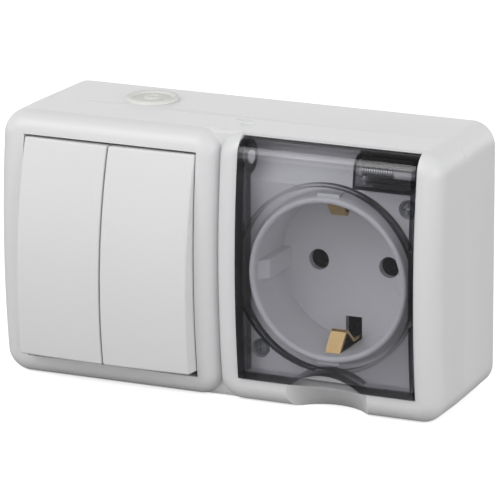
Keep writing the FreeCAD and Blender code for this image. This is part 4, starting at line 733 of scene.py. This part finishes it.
# Bright drawn spring steel: nearly white, and it glints on every turn through the dark lid.
spring_steel = plain_metal("spring_steel", "FBFBFB", "F0F1F2", "9A9C9E", 0.22, 0.3)
bm = bmesh.new()
coil_foot = Matrix.Translation((COIL_LEFT, -HINGE_DEPTH, HINGE_UP - COIL_RADIUS))
upright = coil_foot @ Matrix.Rotation(math.radians(90), 4, "X")
bmesh.ops.create_circle(bm, segments=10, radius=WIRE, matrix=upright)
bmesh.ops.spin(bm, geom=bm.verts[:] + bm.edges[:], cent=(COIL_LEFT, -HINGE_DEPTH, HINGE_UP), axis=(1, 0, 0),
               dvec=(COIL_LENGTH / (COIL_TURNS * COIL_STEPS), 0, 0), angle=COIL_TURNS * math.tau,
               steps=COIL_TURNS * COIL_STEPS)
bmesh.ops.holes_fill(bm, edges=bm.edges)
bmesh.ops.create_cone(bm, cap_ends=True, segments=12, radius1=WIRE, radius2=WIRE, depth=COIL_TAIL,
                      matrix=Matrix.Translation((0, -COIL_TAIL / 2, 0)) @ upright)
bmesh.ops.recalc_face_normals(bm, faces=bm.faces)
finish_piece(bm, "lid_spring_coil", "lid_assembly", "spring_steel", spring_steel, "lid_spring", sharp=60)

# Contacts, screws and bases
# Brass contact strips, plated screws and plain insulating bases, seen only through the lid,
# the slots and the gaps. They keep their CAD meshes and take a finish by their slot.

# Rolled brass strip: warm yellow in front, brown and dull behind the floor, partly as tarnish
# and partly as painted shade in the holes and slots.
strip_brass = plain_metal("strip_brass", "CFB384", "BFA26C", "2B2722", 0.3, 0.8)

# Zinc-plated steel: cool grey with a soft sheen.
zinc_plate = plain_metal("zinc_plate", "C9CBCD", "B4B7BA", "8A8C8E", 0.32, 0.4)

# Pressed phenolic, taken for the hidden bases: nearly black and dull. The near black is also
# painted shade for the gaps, so that they stay dark.
dark_phenolic = moulded_plastic("dark_phenolic", "2A2A2B", "232324", 0.5, 0.5, 0.2)
FINISHES = {"contact_brass": strip_brass, "screw_steel": zinc_plate, "spring_steel": spring_steel,
            "insulator": dark_phenolic, "shell_white": white_abs, "membrane": soft_rubber,
            "smoked_plastic": smoked_polycarbonate}
for part in frame["record"]["subparts"]:
    data = nodes[part["node"]].data
    data.materials.clear()
    data.materials.append(FINISHES[part["material_slot"]])

# Floor, light and camera
# A white sweep under and behind the object, a large soft light from the front left and
# above, a weaker one from the right, and a long lens at the photograph's angle.
FLOOR_Z = -HEIGHT / 2 * 0.001
FLOOR_HALF = 4.0


def seen_directly(tree):
    """1 for rays from the camera, also those that a clear piece let through, and 0 for others."""
    ray = add_node(tree, "ShaderNodeLightPath")
    either = add_node(tree, "ShaderNodeMath", {
        0: ray.outputs["Is Camera Ray"], 1: ray.outputs["Is Transmission Ray"]}, operation="MAXIMUM")
    return either.outputs[0]


# White studio paper: clean white for the camera, and a mid grey card for the light that it
# throws back on the object.
paper_sweep, tree = blank_material("paper_sweep")
card = add_node(tree, "ShaderNodeBsdfDiffuse", {"Color": srgb("A4A4A4")})
paper = add_node(tree, "ShaderNodeBsdfDiffuse", {"Color": srgb("F8F8F8")})
glow = add_node(tree, "ShaderNodeEmission", {"Color": WHITE, "Strength": 0.6})
lit = add_node(tree, "ShaderNodeAddShader", {0: paper.outputs["BSDF"], 1: glow.outputs["Emission"]})
show = add_node(tree, "ShaderNodeMixShader", {
    0: seen_directly(tree), 1: card.outputs["BSDF"], 2: lit.outputs["Shader"]})
add_node(tree, "ShaderNodeOutputMaterial", {"Surface": show.outputs["Shader"]})
bm = bmesh.new()
bmesh.ops.create_grid(bm, x_segments=1, y_segments=1, size=FLOOR_HALF)
bmesh.ops.translate(bm, verts=bm.verts, vec=(0, 0, FLOOR_Z))
floor = as_object(bm, "floor")
floor.data.materials.append(paper_sweep)

# The room's light is strongest at the horizon and falls off upwards.
world = bpy.data.worlds.new("studio")
world.use_nodes = True
tree = world.node_tree
tree.nodes.clear()
aim = add_node(tree, "ShaderNodeTexCoord").outputs["Generated"]
height = add_node(tree, "ShaderNodeSeparateXYZ", {"Vector": aim})
level = add_node(tree, "ShaderNodeMapRange", {
    "Value": height.outputs["Z"], "From Min": 0.0, "From Max": 0.8, "To Min": 1.5, "To Max": 0.26})
fill = add_node(tree, "ShaderNodeBackground", {"Color": WHITE, "Strength": level.outputs["Result"]})
white = add_node(tree, "ShaderNodeBackground", {"Color": WHITE, "Strength": 1.0})
sky = add_node(tree, "ShaderNodeMixShader", {
    0: seen_directly(tree), 1: fill.outputs["Background"], 2: white.outputs["Background"]})
add_node(tree, "ShaderNodeOutputWorld", {"Surface": sky.outputs["Shader"]})
scene.world = world


def softbox(name, place, width, height, power, target=(0, 0, 0)):
    """A large soft lamp, in metres and watts, that points at a target."""
    lamp = bpy.data.lights.new(name, "AREA")
    lamp.shape = "RECTANGLE"
    lamp.size = width
    lamp.size_y = height
    lamp.energy = power
    thing = bpy.data.objects.new(name, lamp)
    thing.location = place
    thing.rotation_euler = (Vector(target) - Vector(place)).to_track_quat("-Z", "Y").to_euler()
    scene.collection.objects.link(thing)


softbox("key", (-0.55, -0.85, 0.95), 0.9, 0.7, 6.0)
softbox("side", (1.1, -0.45, 0.5), 0.6, 0.7, 3.0)

# The camera stands where the photograph's outlines place it, with its small roll.
AZIMUTH = math.radians(24.467)
ELEVATION = math.radians(15.767)
ROLL_ANGLE = math.radians(-0.266)
PHOTO_PIXELS = 500
FOCAL_PIXELS = 4503.917
SENSOR = 36
CAMERA_MM = Vector((453.762, -1014.806, 308.575))
level_right = Vector((math.cos(AZIMUTH), math.sin(AZIMUTH), 0))
back = Vector((math.sin(AZIMUTH) * math.cos(ELEVATION), -math.cos(AZIMUTH) * math.cos(ELEVATION),
               math.sin(ELEVATION)))
level_up = back.cross(level_right)
rightward = level_right * math.cos(ROLL_ANGLE) + level_up * math.sin(ROLL_ANGLE)
upward = level_up * math.cos(ROLL_ANGLE) - level_right * math.sin(ROLL_ANGLE)
turn = Matrix((rightward, upward, back)).transposed().to_4x4()
lens = bpy.data.cameras.new("camera")
lens.sensor_width = SENSOR
lens.lens = FOCAL_PIXELS / PHOTO_PIXELS * SENSOR
lens.clip_start = 0.05
lens.clip_end = 20
camera = bpy.data.objects.new("camera", lens)
camera.matrix_world = Matrix.Translation(CAMERA_MM * 0.001) @ turn
scene.collection.objects.link(camera)
scene.camera = camera
scene.view_settings.view_transform = "Standard"
